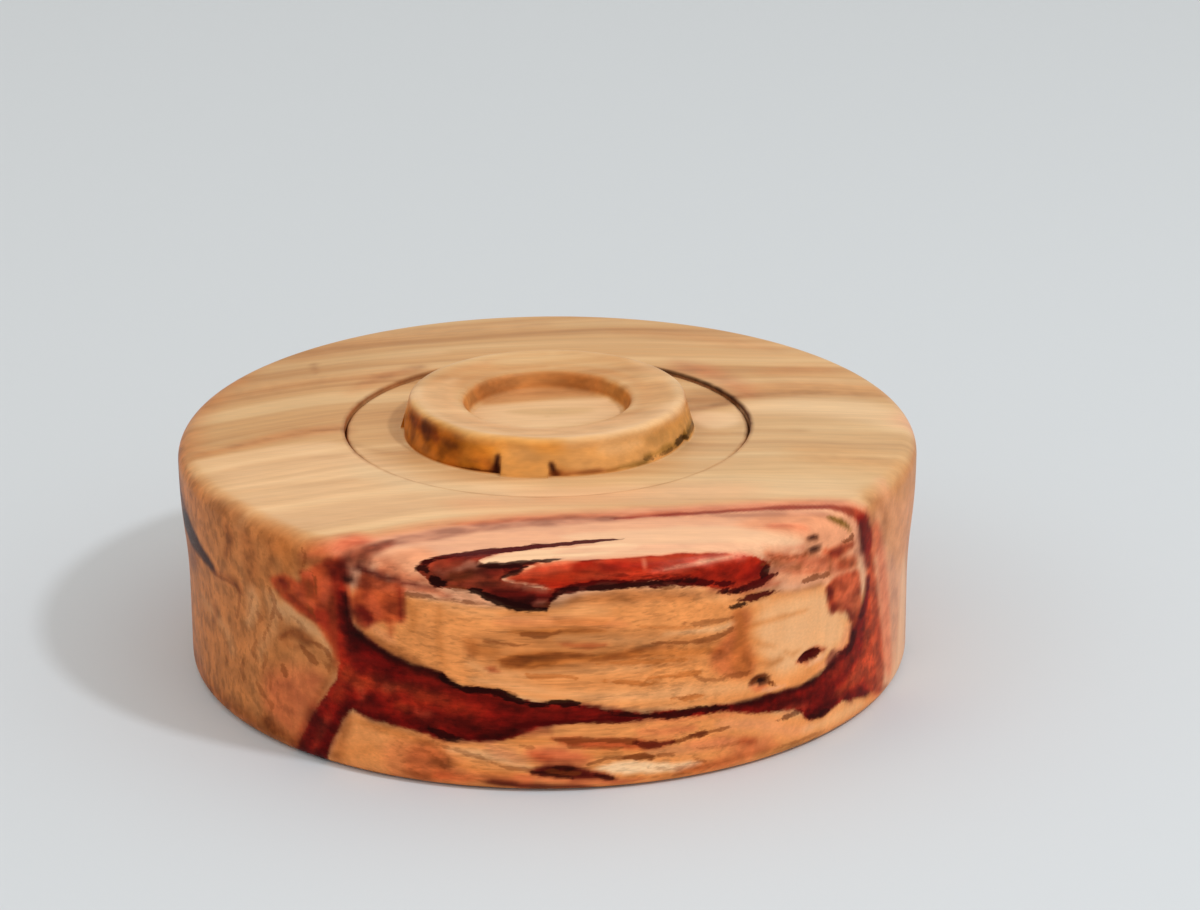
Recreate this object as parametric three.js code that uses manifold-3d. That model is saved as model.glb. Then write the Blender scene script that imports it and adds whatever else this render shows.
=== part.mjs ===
// A turned wooden box: a squat side-grain body with a softly rounded shoulder, a wide deck
// round a rebated mouth, and a loose lid that drops into the rebate. The lid carries a low
// ring-shaped knob with a dished top. A lathe chuck once held that knob by its four jaws,
// and the bites that they left round its foot are still there, with a plain tab between
// each two of them. Millimetres, +Z up, origin at the middle of the foot.
import * as THREE from 'three';
import { mergeVertices } from 'three/addons/utils/BufferGeometryUtils.js';
import Module from 'manifold-3d';

// Facets
const turnSegments = 72; // steps in a full turn
const arcDivisions = 3; // an arc gets twice this many steps, a small eased edge this many
const samePoint = 1e-6;

// Body, outside
const bodyRadius = 62.6; // at the foot of the shoulder, where the body is widest
const wallTaper = 1.2; // how far the side draws in between shoulder and foot
const flareHeight = 13; // the side stands upright up to here, and flares above
const bodyHeight = 39.5; // foot to the outer edge of the deck
const shoulderRadius = 3;
const footEase = 2.5;
const deckCrown = 0.8; // rise of the deck from its outer edge to the mouth

// Body, underside
const footRingWidth = 8;
const baseHollow = 1.6; // how deep the underside is dished inside the foot ring
const baseCove = 5; // width of the cove between foot ring and dish

// Body, inside
const sideWall = 7.5;
const floorThickness = 7;
const deckThickness = 7.5;
const cavityRadius = 7; // round where the floor meets the side
const cavityShoulder = 5; // round where the side meets the underside of the deck

// Mouth
const mouthRadius = 34.4; // the seam round the lid, as it shows from above
const rebateDepth = 4.2;
const ledgeWidth = 3.4;
const mouthEase = 0.4; // eased edges of mouth and neck

// Lid
const lidRecess = 0.6; // how far the lid lies below the rim of the mouth
const lidGap = 0.3; // radial clearance, and the lid's rise off its ledge
const lidEase = 0.5;
const spigotDepth = 5; // below the ledge
const spigotWall = 4;
const lidThickness = 4.6; // top of the lid to its hollowed underside
const lidHollowRadius = 3; // round inside the spigot

// Knob
const knobRadius = 24.95; // at its foot
const knobTaper = 1.4; // how far its side draws in towards the top
const knobHeight = 6.2;
const knobEdge = 1.5;
const dishRadius = 14.4;
const lipFall = 0.9; // how far the flat of the ring falls towards the dish
const dishDepth = 3.4; // below the inner edge of the ring
const dishEdge = 0.8; // eased inner edge of the ring
const dishRound = 1.2; // round between the dish's side and its floor

// Chuck jaw bites
const jawCount = 4;
const jawArcRadius = 21.5; // the jaws were ground to this, so their corners bite deepest
const jawCornerBite = 0.8; // depth at a jaw's corner, at the foot of the knob
const jawGap = 8.1; // width of the untouched tab between two jaws
const jawReach = 6; // how thick a jaw is, beyond the knob
const tabAngle = -9.2; // degrees from the front, of the tab nearest it
const overrun = 0.05; // a jaw's face stood this far off the lid

// Heights and radii that follow from those
const footRadius = bodyRadius - wallTaper;
const shoulderFoot = bodyHeight - shoulderRadius;
const rimHeight = bodyHeight + deckCrown;
const ledgeHeight = rimHeight - rebateDepth;
const neckRadius = mouthRadius - ledgeWidth;
const deckUnderside = rimHeight - deckThickness;
const lidTop = rimHeight - lidRecess;
const lidSeat = ledgeHeight + lidGap;
const lidRadius = mouthRadius - lidGap;
const spigotRadius = neckRadius - lidGap;
const spigotFoot = ledgeHeight - spigotDepth;
const lidCeiling = lidTop - lidThickness;
const knobTop = lidTop + knobHeight;
const knobTopRadius = knobRadius - knobTaper;
const lipHeight = knobTop - lipFall;
const dishFloor = lipHeight - dishDepth;

// Half of a full turn and a quarter of it, in radians
const halfTurn = Math.PI;
const quarterTurn = Math.PI / 2;

// The body's outline from the middle of the underside round to the middle of the floor.
function bodyOutline() {
  const ringInner = footRadius - footEase - footRingWidth;
  const insideRadius = footRadius - sideWall;
  const insideTop = bodyRadius - sideWall;
  const flareMiddle = (flareHeight + shoulderFoot) / 2;
  const outline = new THREE.Path();
  outline.moveTo(0, baseHollow);
  outline.lineTo(ringInner - baseCove, baseHollow);
  outline.bezierCurveTo(
    ringInner - baseCove / 2, baseHollow,
    ringInner - baseCove / 2, 0,
    ringInner, 0,
  );
  outline.lineTo(footRadius - footEase, 0);
  outline.quadraticCurveTo(footRadius, 0, footRadius, footEase);
  outline.lineTo(footRadius, flareHeight);
  outline.bezierCurveTo(
    footRadius, flareMiddle,
    bodyRadius, flareMiddle,
    bodyRadius, shoulderFoot,
  );
  outline.absarc(bodyRadius - shoulderRadius, shoulderFoot, shoulderRadius, 0, quarterTurn, false);
  // The deck rises in a shallow curve that is steepest at the shoulder and flat at the mouth.
  outline.quadraticCurveTo(
    (bodyRadius - shoulderRadius + mouthRadius) / 2, rimHeight,
    mouthRadius + mouthEase, rimHeight,
  );
  outline.quadraticCurveTo(mouthRadius, rimHeight, mouthRadius, rimHeight - mouthEase);
  outline.lineTo(mouthRadius, ledgeHeight);
  outline.lineTo(neckRadius + mouthEase, ledgeHeight);
  outline.lineTo(neckRadius, ledgeHeight - mouthEase);
  outline.lineTo(neckRadius, deckUnderside + mouthEase);
  outline.lineTo(neckRadius + mouthEase, deckUnderside);
  outline.lineTo(insideTop - cavityShoulder, deckUnderside);
  outline.absarc(
    insideTop - cavityShoulder, deckUnderside - cavityShoulder,
    cavityShoulder, quarterTurn, 0, true,
  );
  outline.absarc(
    insideRadius - cavityRadius, floorThickness + cavityRadius,
    cavityRadius, 0, -quarterTurn, true,
  );
  outline.lineTo(0, floorThickness);
  return outline;
}

// The lid's outline from the middle of its underside round to the middle of the dish.
function lidOutline() {
  const hollowRadius = spigotRadius - spigotWall;
  const dishFoot = dishRadius - dishEdge;
  const outline = new THREE.Path();
  outline.moveTo(0, lidCeiling);
  outline.lineTo(hollowRadius - lidHollowRadius, lidCeiling);
  outline.absarc(
    hollowRadius - lidHollowRadius, lidCeiling - lidHollowRadius,
    lidHollowRadius, quarterTurn, 0, true,
  );
  outline.lineTo(hollowRadius, spigotFoot + lidEase);
  outline.lineTo(hollowRadius + lidEase, spigotFoot);
  outline.lineTo(spigotRadius - lidEase, spigotFoot);
  outline.lineTo(spigotRadius, spigotFoot + lidEase);
  outline.lineTo(spigotRadius, lidSeat);
  outline.lineTo(lidRadius, lidSeat);
  outline.lineTo(lidRadius, lidTop - lidEase);
  outline.quadraticCurveTo(lidRadius, lidTop, lidRadius - lidEase, lidTop);
  outline.lineTo(knobRadius, lidTop);
  outline.lineTo(knobTopRadius, knobTop - knobEdge);
  outline.quadraticCurveTo(knobTopRadius, knobTop, knobTopRadius - knobEdge, knobTop);
  outline.lineTo(dishRadius + dishEdge, lipHeight);
  outline.quadraticCurveTo(dishRadius, lipHeight, dishRadius - dishEdge / 2, lipHeight - dishEdge);
  outline.lineTo(dishFoot, dishFloor + dishRound);
  outline.quadraticCurveTo(dishFoot, dishFloor, dishFoot - dishRound, dishFloor);
  outline.lineTo(0, dishFloor);
  return outline;
}

// A closed outline of a jaw's section, on the jaw's own axis.
function jawOutline() {
  const low = lidTop + overrun;
  const high = knobTop + knobEdge;
  const outline = new THREE.Path();
  outline.moveTo(jawArcRadius, low);
  outline.lineTo(jawArcRadius + jawReach, low);
  outline.lineTo(jawArcRadius + jawReach, high);
  outline.lineTo(jawArcRadius, high);
  outline.lineTo(jawArcRadius, low);
  return outline;
}

// The outline's points, less those that fall on the one before.
function outlinePoints(outline) {
  return outline
    .getPoints(arcDivisions)
    .filter((point, i, all) => i === 0 || point.distanceTo(all[i - 1]) > samePoint);
}

// An outline in radius and height, turned round the Z axis.
function turned(outline) {
  const geometry = new THREE.LatheGeometry(outlinePoints(outline), turnSegments);
  return geometry.rotateX(quarterTurn);
}

const wasm = await Module();
wasm.setup();

// A closed geometry as a solid that can be cut and joined.
function solidOf(geometry) {
  const bare = geometry.clone();
  bare.deleteAttribute('normal');
  bare.deleteAttribute('uv');
  const merged = mergeVertices(bare);
  return new wasm.Manifold(
    new wasm.Mesh({
      numProp: 3,
      vertProperties: merged.attributes.position.array,
      triVerts: new Uint32Array(merged.index.array),
    }),
  );
}

// A solid as a geometry with flat-shaded faces.
function geometryOf(solid) {
  const mesh = solid.getMesh();
  const geometry = new THREE.BufferGeometry();
  geometry.setAttribute('position', new THREE.BufferAttribute(mesh.vertProperties, mesh.numProp));
  geometry.setIndex(new THREE.BufferAttribute(mesh.triVerts, 1));
  const flat = geometry.toNonIndexed();
  flat.computeVertexNormals();
  return flat;
}

// How far a jaw's own axis stands off the lathe's, so that its corners bite as deep as stated.
function jawOffset(halfSpan) {
  const cornerRadius = knobRadius - jawCornerBite;
  const across = cornerRadius * Math.sin(halfSpan);
  return cornerRadius * Math.cos(halfSpan) - Math.sqrt(jawArcRadius ** 2 - across ** 2);
}

// One jaw: a turned ring on its own axis, kept only between the gaps on its two sides.
function jawSolid(middleAngle, halfSpan) {
  const offset = jawOffset(halfSpan);
  const ring = turned(jawOutline());
  ring.translate(offset * Math.sin(middleAngle), -offset * Math.cos(middleAngle), 0);
  const reach = knobRadius + jawReach;
  const sector = new THREE.Shape();
  sector.moveTo(0, 0);
  sector.absarc(
    0, 0, reach,
    middleAngle - halfSpan - quarterTurn, middleAngle + halfSpan - quarterTurn, false,
  );
  sector.lineTo(0, 0);
  const wedge = new THREE.ExtrudeGeometry(sector, {
    depth: knobTop + knobHeight,
    bevelEnabled: false,
    curveSegments: turnSegments / jawCount,
  });
  return solidOf(ring).intersect(solidOf(wedge));
}

// The lid with the four bites cut into the foot of its knob.
function lidGeometry() {
  const halfSpan = halfTurn / jawCount - Math.asin(jawGap / 2 / knobRadius);
  const firstTab = THREE.MathUtils.degToRad(tabAngle);
  let lid = solidOf(turned(lidOutline()));
  for (let i = 0; i < jawCount; i++) {
    const middleAngle = firstTab + (2 * halfTurn * (i + 0.5)) / jawCount;
    lid = lid.subtract(jawSolid(middleAngle, halfSpan));
  }
  return geometryOf(lid);
}

// A named mesh in pale figured wood.
function woodPiece(name, geometry, colour, roughness) {
  const material = new THREE.MeshStandardMaterial({ color: colour, roughness, metalness: 0 });
  const mesh = new THREE.Mesh(geometry, material);
  mesh.name = name;
  return mesh;
}

const box = new THREE.Group();
box.add(woodPiece('box_body', turned(bodyOutline()), 0xd2a06a, 0.38));
box.add(woodPiece('lid', lidGeometry(), 0xdcb27f, 0.42));

export default box;
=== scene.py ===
# A squat turned wooden box with a loose inset lid, on a plain pale sweep. The wood's figure
# is drawn as patches and streaks of stain, with some painted shade and highlights, placed by
# pixels of the photograph, over a solid grain that runs through body and lid alike.
import math

import bpy
import numpy as np
from mathutils import Matrix, Vector, noise
from mathutils.bvhtree import BVHTree


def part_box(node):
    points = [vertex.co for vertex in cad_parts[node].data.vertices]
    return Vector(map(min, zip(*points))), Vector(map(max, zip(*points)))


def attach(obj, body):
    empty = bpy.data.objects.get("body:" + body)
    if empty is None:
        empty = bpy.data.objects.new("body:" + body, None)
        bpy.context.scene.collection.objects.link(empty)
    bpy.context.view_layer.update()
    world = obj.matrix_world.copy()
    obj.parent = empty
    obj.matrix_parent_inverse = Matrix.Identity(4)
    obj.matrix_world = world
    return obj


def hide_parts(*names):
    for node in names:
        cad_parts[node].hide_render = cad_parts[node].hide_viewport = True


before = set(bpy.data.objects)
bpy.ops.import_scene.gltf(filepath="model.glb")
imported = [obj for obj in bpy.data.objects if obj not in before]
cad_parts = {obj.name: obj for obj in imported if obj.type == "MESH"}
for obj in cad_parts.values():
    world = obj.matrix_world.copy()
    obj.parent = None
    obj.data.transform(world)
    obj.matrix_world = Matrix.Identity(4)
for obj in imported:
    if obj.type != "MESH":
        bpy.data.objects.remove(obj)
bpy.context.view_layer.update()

# Sizes are in millimetres until a mesh is made; Blender's own unit is the metre.
MM = 0.001
FULL_COLOUR = 255  # the highest red, green or blue of a written colour
BODY_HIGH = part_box("box_body")[1]
LID_LOW, LID_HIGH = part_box("lid")

# Body, outside
BODY_RADIUS = BODY_HIGH.x / MM
RIM_HEIGHT = BODY_HIGH.z / MM
DECK_CROWN = 0.8
SHOULDER_RADIUS = 3.0
WALL_TAPER = 1.2
FLARE_HEIGHT = 13.0
FOOT_EASE = 2.5
FOOT_RING_WIDTH = 8.0
BASE_HOLLOW = 1.6
BASE_COVE = 5.0
FOOT_RADIUS = BODY_RADIUS - WALL_TAPER
BODY_HEIGHT = RIM_HEIGHT - DECK_CROWN
SHOULDER_FOOT = BODY_HEIGHT - SHOULDER_RADIUS
TOP_FROM = BODY_HEIGHT - SHOULDER_RADIUS / 2  # the lowest place that the top's marks reach

# Body, inside
SIDE_WALL = 7.5
FLOOR_THICKNESS = 7.0
DECK_THICKNESS = 7.5
CAVITY_RADIUS = 7.0
CAVITY_SHOULDER = 5.0
MOUTH_RADIUS = 34.4
MOUTH_EASE = 0.4
REBATE_DEPTH = 4.2
LEDGE_WIDTH = 3.4
LEDGE_HEIGHT = RIM_HEIGHT - REBATE_DEPTH
NECK_RADIUS = MOUTH_RADIUS - LEDGE_WIDTH
DECK_UNDERSIDE = RIM_HEIGHT - DECK_THICKNESS

# Lid and knob
LID_RADIUS = LID_HIGH.x / MM
LID_GAP = MOUTH_RADIUS - LID_RADIUS
LID_EASE = 0.5
LID_THICKNESS = 4.6
SPIGOT_WALL = 4.0
LID_HOLLOW_RADIUS = 3.0
SPIGOT_FOOT = LID_LOW.z / MM
SPIGOT_RADIUS = NECK_RADIUS - LID_GAP
LID_SEAT = LEDGE_HEIGHT + LID_GAP
KNOB_TOP = LID_HIGH.z / MM
KNOB_HEIGHT = 6.2
LID_TOP = KNOB_TOP - KNOB_HEIGHT
KNOB_RADIUS = 24.95
KNOB_TAPER = 1.4
KNOB_EDGE = 1.5
LIP_FALL = 0.9
DISH_RADIUS = 14.4
DISH_DEPTH = 3.4
DISH_EDGE = 0.8
DISH_ROUND = 1.2
DISH_FLOOR = KNOB_TOP - LIP_FALL - DISH_DEPTH

# Chuck jaw bites round the foot of the knob
JAW_COUNT = 4
JAW_ARC_RADIUS = 21.5
JAW_CORNER_BITE = 0.8
JAW_GAP = 8.1
TAB_ANGLE = -9.2
JAW_CORNER_STEP = 0.12  # degrees taken by the step between a tab and a bite

# Spacing of the meshes' rows and columns
FINE_ROW = 0.34
DECK_ROW = 0.5
PLAIN_ROW = 0.9
COARSE_ROW = 5.0
FRONT_SPAN = 85.0  # degrees either side of the front that have fine columns
FRONT_COLUMN = 0.6
BACK_COLUMN = 1.9
LID_COLUMN = 0.75
ROUND_STEPS = 6
TIGHT_STEPS = 3

# The camera, as it stood to the box in the photograph
PHOTO_WIDTH = 1200
PHOTO_HEIGHT = 910
SENSOR = 36.0
LENS = 122.95
CAMERA_DISTANCE = 654.4
CAMERA_HEIGHT = 277.3
CAMERA_YAW = 0.0136
CAMERA_PITCH = 0.3552
CAMERA_ROLL = -0.0054
CLIP_START = 0.01  # metres
CLIP_END = 20.0
EYE = Vector((0, -CAMERA_DISTANCE, CAMERA_HEIGHT))


def camera_axes():
    """The camera's right, up and forward directions."""
    ahead, aside = math.cos(CAMERA_YAW), math.sin(CAMERA_YAW)
    level = math.cos(CAMERA_PITCH)
    forward = Vector((aside * level, ahead * level, -math.sin(CAMERA_PITCH)))
    right = Vector((ahead, -aside, 0))
    up = right.cross(forward)
    turn = Matrix.Rotation(-CAMERA_ROLL, 3, forward)
    return turn @ right, turn @ up, forward


def make_camera():
    """The scene's camera, placed as the photograph's was."""
    right, up, forward = camera_axes()
    data = bpy.data.cameras.new("camera")
    data.sensor_fit = "HORIZONTAL"
    data.sensor_width = SENSOR
    data.lens = LENS
    data.clip_start = CLIP_START
    data.clip_end = CLIP_END
    camera = bpy.data.objects.new("camera", data)
    bpy.context.scene.collection.objects.link(camera)
    axes = Matrix((right, up, -forward)).transposed().to_4x4()
    camera.matrix_world = Matrix.Translation(EYE * MM) @ axes
    bpy.context.scene.camera = camera


def ray_through(pixel):
    """Direction of the photograph's ray through a pixel."""
    right, up, forward = camera_axes()
    focal = LENS / SENSOR * PHOTO_WIDTH
    across = (pixel[0] - PHOTO_WIDTH / 2) / focal
    down = (pixel[1] - PHOTO_HEIGHT / 2) / focal
    return (forward + right * across - up * down).normalized()


# Outlines in radius and height


def steps_for(length, step):
    """How many steps of about this size a length takes."""
    return max(1, math.ceil(length / step))


def run_to(rows, end, step):
    """Adds a straight run of evenly spaced points up to end."""
    start = rows[-1]
    count = steps_for(math.dist(start, end), step)
    for i in range(1, count + 1):
        share = i / count
        radius = start[0] + (end[0] - start[0]) * share
        rows.append((radius, start[1] + (end[1] - start[1]) * share))


def bend_to(rows, controls, end, steps):
    """Adds a Bezier bend with one or two control points."""
    points = [rows[-1], *controls, end]
    degree = len(points) - 1
    for i in range(1, steps + 1):
        share = i / steps
        weights = [
            math.comb(degree, k) * share**k * (1 - share) ** (degree - k)
            for k in range(degree + 1)
        ]
        radius = sum(w * p[0] for w, p in zip(weights, points))
        rows.append((radius, sum(w * p[1] for w, p in zip(weights, points))))


def sweep_to(rows, centre, size, start, end, steps):
    """Adds an arc of this radius, from one angle to another in degrees."""
    for i in range(1, steps + 1):
        angle = math.radians(start + (end - start) * i / steps)
        radius = centre[0] + size * math.cos(angle)
        rows.append((radius, centre[1] + size * math.sin(angle)))


def underside_outline():
    """The body's outline from the middle of the underside to the top of the foot's ease."""
    ring_inner = FOOT_RADIUS - FOOT_EASE - FOOT_RING_WIDTH
    cove_middle = ring_inner - BASE_COVE / 2
    cove = [(cove_middle, BASE_HOLLOW), (cove_middle, 0)]
    foot_steps = steps_for(FOOT_EASE + FOOT_EASE / 2, FINE_ROW)
    rows = [(0, BASE_HOLLOW)]
    run_to(rows, (ring_inner - BASE_COVE, BASE_HOLLOW), COARSE_ROW)
    bend_to(rows, cove, (ring_inner, 0), ROUND_STEPS)
    run_to(rows, (FOOT_RADIUS - FOOT_EASE, 0), PLAIN_ROW)
    bend_to(rows, [(FOOT_RADIUS, 0)], (FOOT_RADIUS, FOOT_EASE), foot_steps)
    return rows


def add_side_and_deck(rows):
    """Carries the body's outline up the side and over the deck to the mouth."""
    flare_middle = (FLARE_HEIGHT + SHOULDER_FOOT) / 2
    flare = [(FOOT_RADIUS, flare_middle), (BODY_RADIUS, flare_middle)]
    flare_steps = steps_for(SHOULDER_FOOT - FLARE_HEIGHT, FINE_ROW)
    middle = (BODY_RADIUS - SHOULDER_RADIUS, SHOULDER_FOOT)
    shoulder_steps = steps_for(SHOULDER_RADIUS * math.pi / 2, FINE_ROW)
    crown = [((middle[0] + MOUTH_RADIUS) / 2, RIM_HEIGHT)]
    deck_steps = steps_for(middle[0] - MOUTH_RADIUS, DECK_ROW)
    run_to(rows, (FOOT_RADIUS, FLARE_HEIGHT), FINE_ROW)
    bend_to(rows, flare, (BODY_RADIUS, SHOULDER_FOOT), flare_steps)
    sweep_to(rows, middle, SHOULDER_RADIUS, 0, 90, shoulder_steps)
    bend_to(rows, crown, (MOUTH_RADIUS + MOUTH_EASE, RIM_HEIGHT), deck_steps)


def add_mouth(rows):
    """Carries the body's outline down the rebate, over its ledge and down the neck."""
    mouth_foot = (MOUTH_RADIUS, RIM_HEIGHT - MOUTH_EASE)
    neck_top = (NECK_RADIUS, LEDGE_HEIGHT - MOUTH_EASE)
    neck_foot = (NECK_RADIUS + MOUTH_EASE, DECK_UNDERSIDE)
    bend_to(rows, [(MOUTH_RADIUS, RIM_HEIGHT)], mouth_foot, TIGHT_STEPS)
    run_to(rows, (MOUTH_RADIUS, LEDGE_HEIGHT), PLAIN_ROW)
    run_to(rows, (NECK_RADIUS + MOUTH_EASE, LEDGE_HEIGHT), PLAIN_ROW)
    bend_to(rows, [(NECK_RADIUS, LEDGE_HEIGHT)], neck_top, TIGHT_STEPS)
    run_to(rows, (NECK_RADIUS, DECK_UNDERSIDE + MOUTH_EASE), PLAIN_ROW)
    bend_to(rows, [(NECK_RADIUS, DECK_UNDERSIDE)], neck_foot, TIGHT_STEPS)


def add_cavity(rows):
    """Carries the body's outline round the cavity to the middle of its floor."""
    inside_low = FOOT_RADIUS - SIDE_WALL
    inside_high = BODY_RADIUS - SIDE_WALL
    top = (inside_high - CAVITY_SHOULDER, DECK_UNDERSIDE - CAVITY_SHOULDER)
    foot = (inside_low - CAVITY_RADIUS, FLOOR_THICKNESS + CAVITY_RADIUS)
    run_to(rows, (top[0], DECK_UNDERSIDE), COARSE_ROW)
    sweep_to(rows, top, CAVITY_SHOULDER, 90, 0, ROUND_STEPS)
    run_to(rows, (inside_low, foot[1]), COARSE_ROW)
    sweep_to(rows, foot, CAVITY_RADIUS, 0, -90, ROUND_STEPS)
    run_to(rows, (0, FLOOR_THICKNESS), COARSE_ROW)


def body_outline():
    """The body's outline from the middle of the underside to the middle of the floor."""
    rows = underside_outline()
    add_side_and_deck(rows)
    add_mouth(rows)
    add_cavity(rows)
    return rows


def spigot_outline():
    """The lid's outline from the middle of its underside to the edge of its top."""
    hollow_radius = SPIGOT_RADIUS - SPIGOT_WALL
    ceiling = LID_TOP - LID_THICKNESS
    middle = (hollow_radius - LID_HOLLOW_RADIUS, ceiling - LID_HOLLOW_RADIUS)
    inner_foot = (hollow_radius + LID_EASE, SPIGOT_FOOT)
    outer_foot = (SPIGOT_RADIUS, SPIGOT_FOOT + LID_EASE)
    rows = [(0, ceiling)]
    run_to(rows, (middle[0], ceiling), COARSE_ROW)
    sweep_to(rows, middle, LID_HOLLOW_RADIUS, 90, 0, ROUND_STEPS)
    run_to(rows, (hollow_radius, SPIGOT_FOOT + LID_EASE), PLAIN_ROW)
    bend_to(rows, [(hollow_radius, SPIGOT_FOOT)], inner_foot, TIGHT_STEPS)
    run_to(rows, (SPIGOT_RADIUS - LID_EASE, SPIGOT_FOOT), PLAIN_ROW)
    bend_to(rows, [(SPIGOT_RADIUS, SPIGOT_FOOT)], outer_foot, TIGHT_STEPS)
    run_to(rows, (SPIGOT_RADIUS, LID_SEAT), PLAIN_ROW)
    run_to(rows, (LID_RADIUS, LID_SEAT), PLAIN_ROW)
    run_to(rows, (LID_RADIUS, LID_TOP - LID_EASE), PLAIN_ROW)
    bend_to(rows, [(LID_RADIUS, LID_TOP)], (LID_RADIUS - LID_EASE, LID_TOP), TIGHT_STEPS)
    return rows


def lid_outline():
    """The lid's outline from the middle of its underside to the middle of the dish."""
    top_radius = KNOB_RADIUS - KNOB_TAPER
    lip_height = KNOB_TOP - LIP_FALL
    lip_foot = (DISH_RADIUS - DISH_EDGE / 2, lip_height - DISH_EDGE)
    dish_foot = DISH_RADIUS - DISH_EDGE
    edge_steps = 2 * TIGHT_STEPS
    rows = spigot_outline()
    run_to(rows, (KNOB_RADIUS, LID_TOP), FINE_ROW)
    run_to(rows, (top_radius, KNOB_TOP - KNOB_EDGE), FINE_ROW)
    bend_to(rows, [(top_radius, KNOB_TOP)], (top_radius - KNOB_EDGE, KNOB_TOP), edge_steps)
    run_to(rows, (DISH_RADIUS + DISH_EDGE, lip_height), FINE_ROW)
    bend_to(rows, [(DISH_RADIUS, lip_height)], lip_foot, edge_steps)
    run_to(rows, (dish_foot, DISH_FLOOR + DISH_ROUND), FINE_ROW)
    bend_to(rows, [(dish_foot, DISH_FLOOR)], (dish_foot - DISH_ROUND, DISH_FLOOR), edge_steps)
    run_to(rows, (0, DISH_FLOOR), PLAIN_ROW)
    return rows


def body_columns():
    """Angles of the body's columns, finer round the front."""
    front = np.arange(-FRONT_SPAN, FRONT_SPAN, FRONT_COLUMN)
    back = np.arange(FRONT_SPAN, 360 - FRONT_SPAN, BACK_COLUMN)
    return np.radians(np.concatenate([front, back]))


def jaw_span():
    """Half the angle that a jaw takes round the knob, in degrees."""
    return 180 / JAW_COUNT - math.degrees(math.asin(JAW_GAP / 2 / KNOB_RADIUS))


def lid_columns():
    """Angles of the lid's columns, with a pair at each jaw's corner."""
    plain = np.arange(-180, 180, LID_COLUMN)
    corners = []
    for jaw in range(JAW_COUNT):
        middle = TAB_ANGLE + 360 * (jaw + 0.5) / JAW_COUNT
        for side in (-1, 1):
            corner = middle + side * jaw_span()
            corners += [corner - JAW_CORNER_STEP / 2, corner + JAW_CORNER_STEP / 2]
    corners = (np.array(corners) + 180) % 360 - 180
    clear = np.abs(plain[:, None] - corners).min(axis=1) > LID_COLUMN / 3
    return np.radians(np.sort(np.concatenate([plain[clear], corners])))


def jaw_face(angles):
    """Radius of the jaws' faces at each angle, and infinity at the tabs between them."""
    half = math.radians(jaw_span())
    corner_radius = KNOB_RADIUS - JAW_CORNER_BITE
    across = corner_radius * math.sin(half)
    offset = corner_radius * math.cos(half) - math.sqrt(JAW_ARC_RADIUS**2 - across**2)
    turn = 2 * math.pi / JAW_COUNT
    from_middle = (angles - math.radians(TAB_ANGLE)) % turn - turn / 2
    reach = np.sqrt(JAW_ARC_RADIUS**2 - (offset * np.sin(from_middle)) ** 2)
    face = offset * np.cos(from_middle) + reach
    return np.where(np.abs(from_middle) < half, face, np.inf)


class Coat:
    """A coat's colour, how much of it there is, and how far outside its edge a place is."""

    def __init__(self, shape):
        plain = np.array(MIDDLE_WOOD) / FULL_COLOUR
        self.colour = np.broadcast_to(plain, (*shape, 3)).copy()
        self.cover = np.zeros(shape)
        self.edge = np.full(shape, MARGIN)

    def lay(self, tint, share, area):
        """Lays a tint over what is there, as much of it as the share says."""
        kept = self.cover[area] * (1 - share)
        total = np.maximum(kept + share, LEAST_SHARE)[..., None]
        mixed = (self.colour[area] * kept[..., None] + tint * share[..., None]) / total
        laid = (share > LEAST_SHARE)[..., None]
        self.colour[area] = np.where(laid, mixed, self.colour[area])
        self.cover[area] = kept + share


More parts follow.
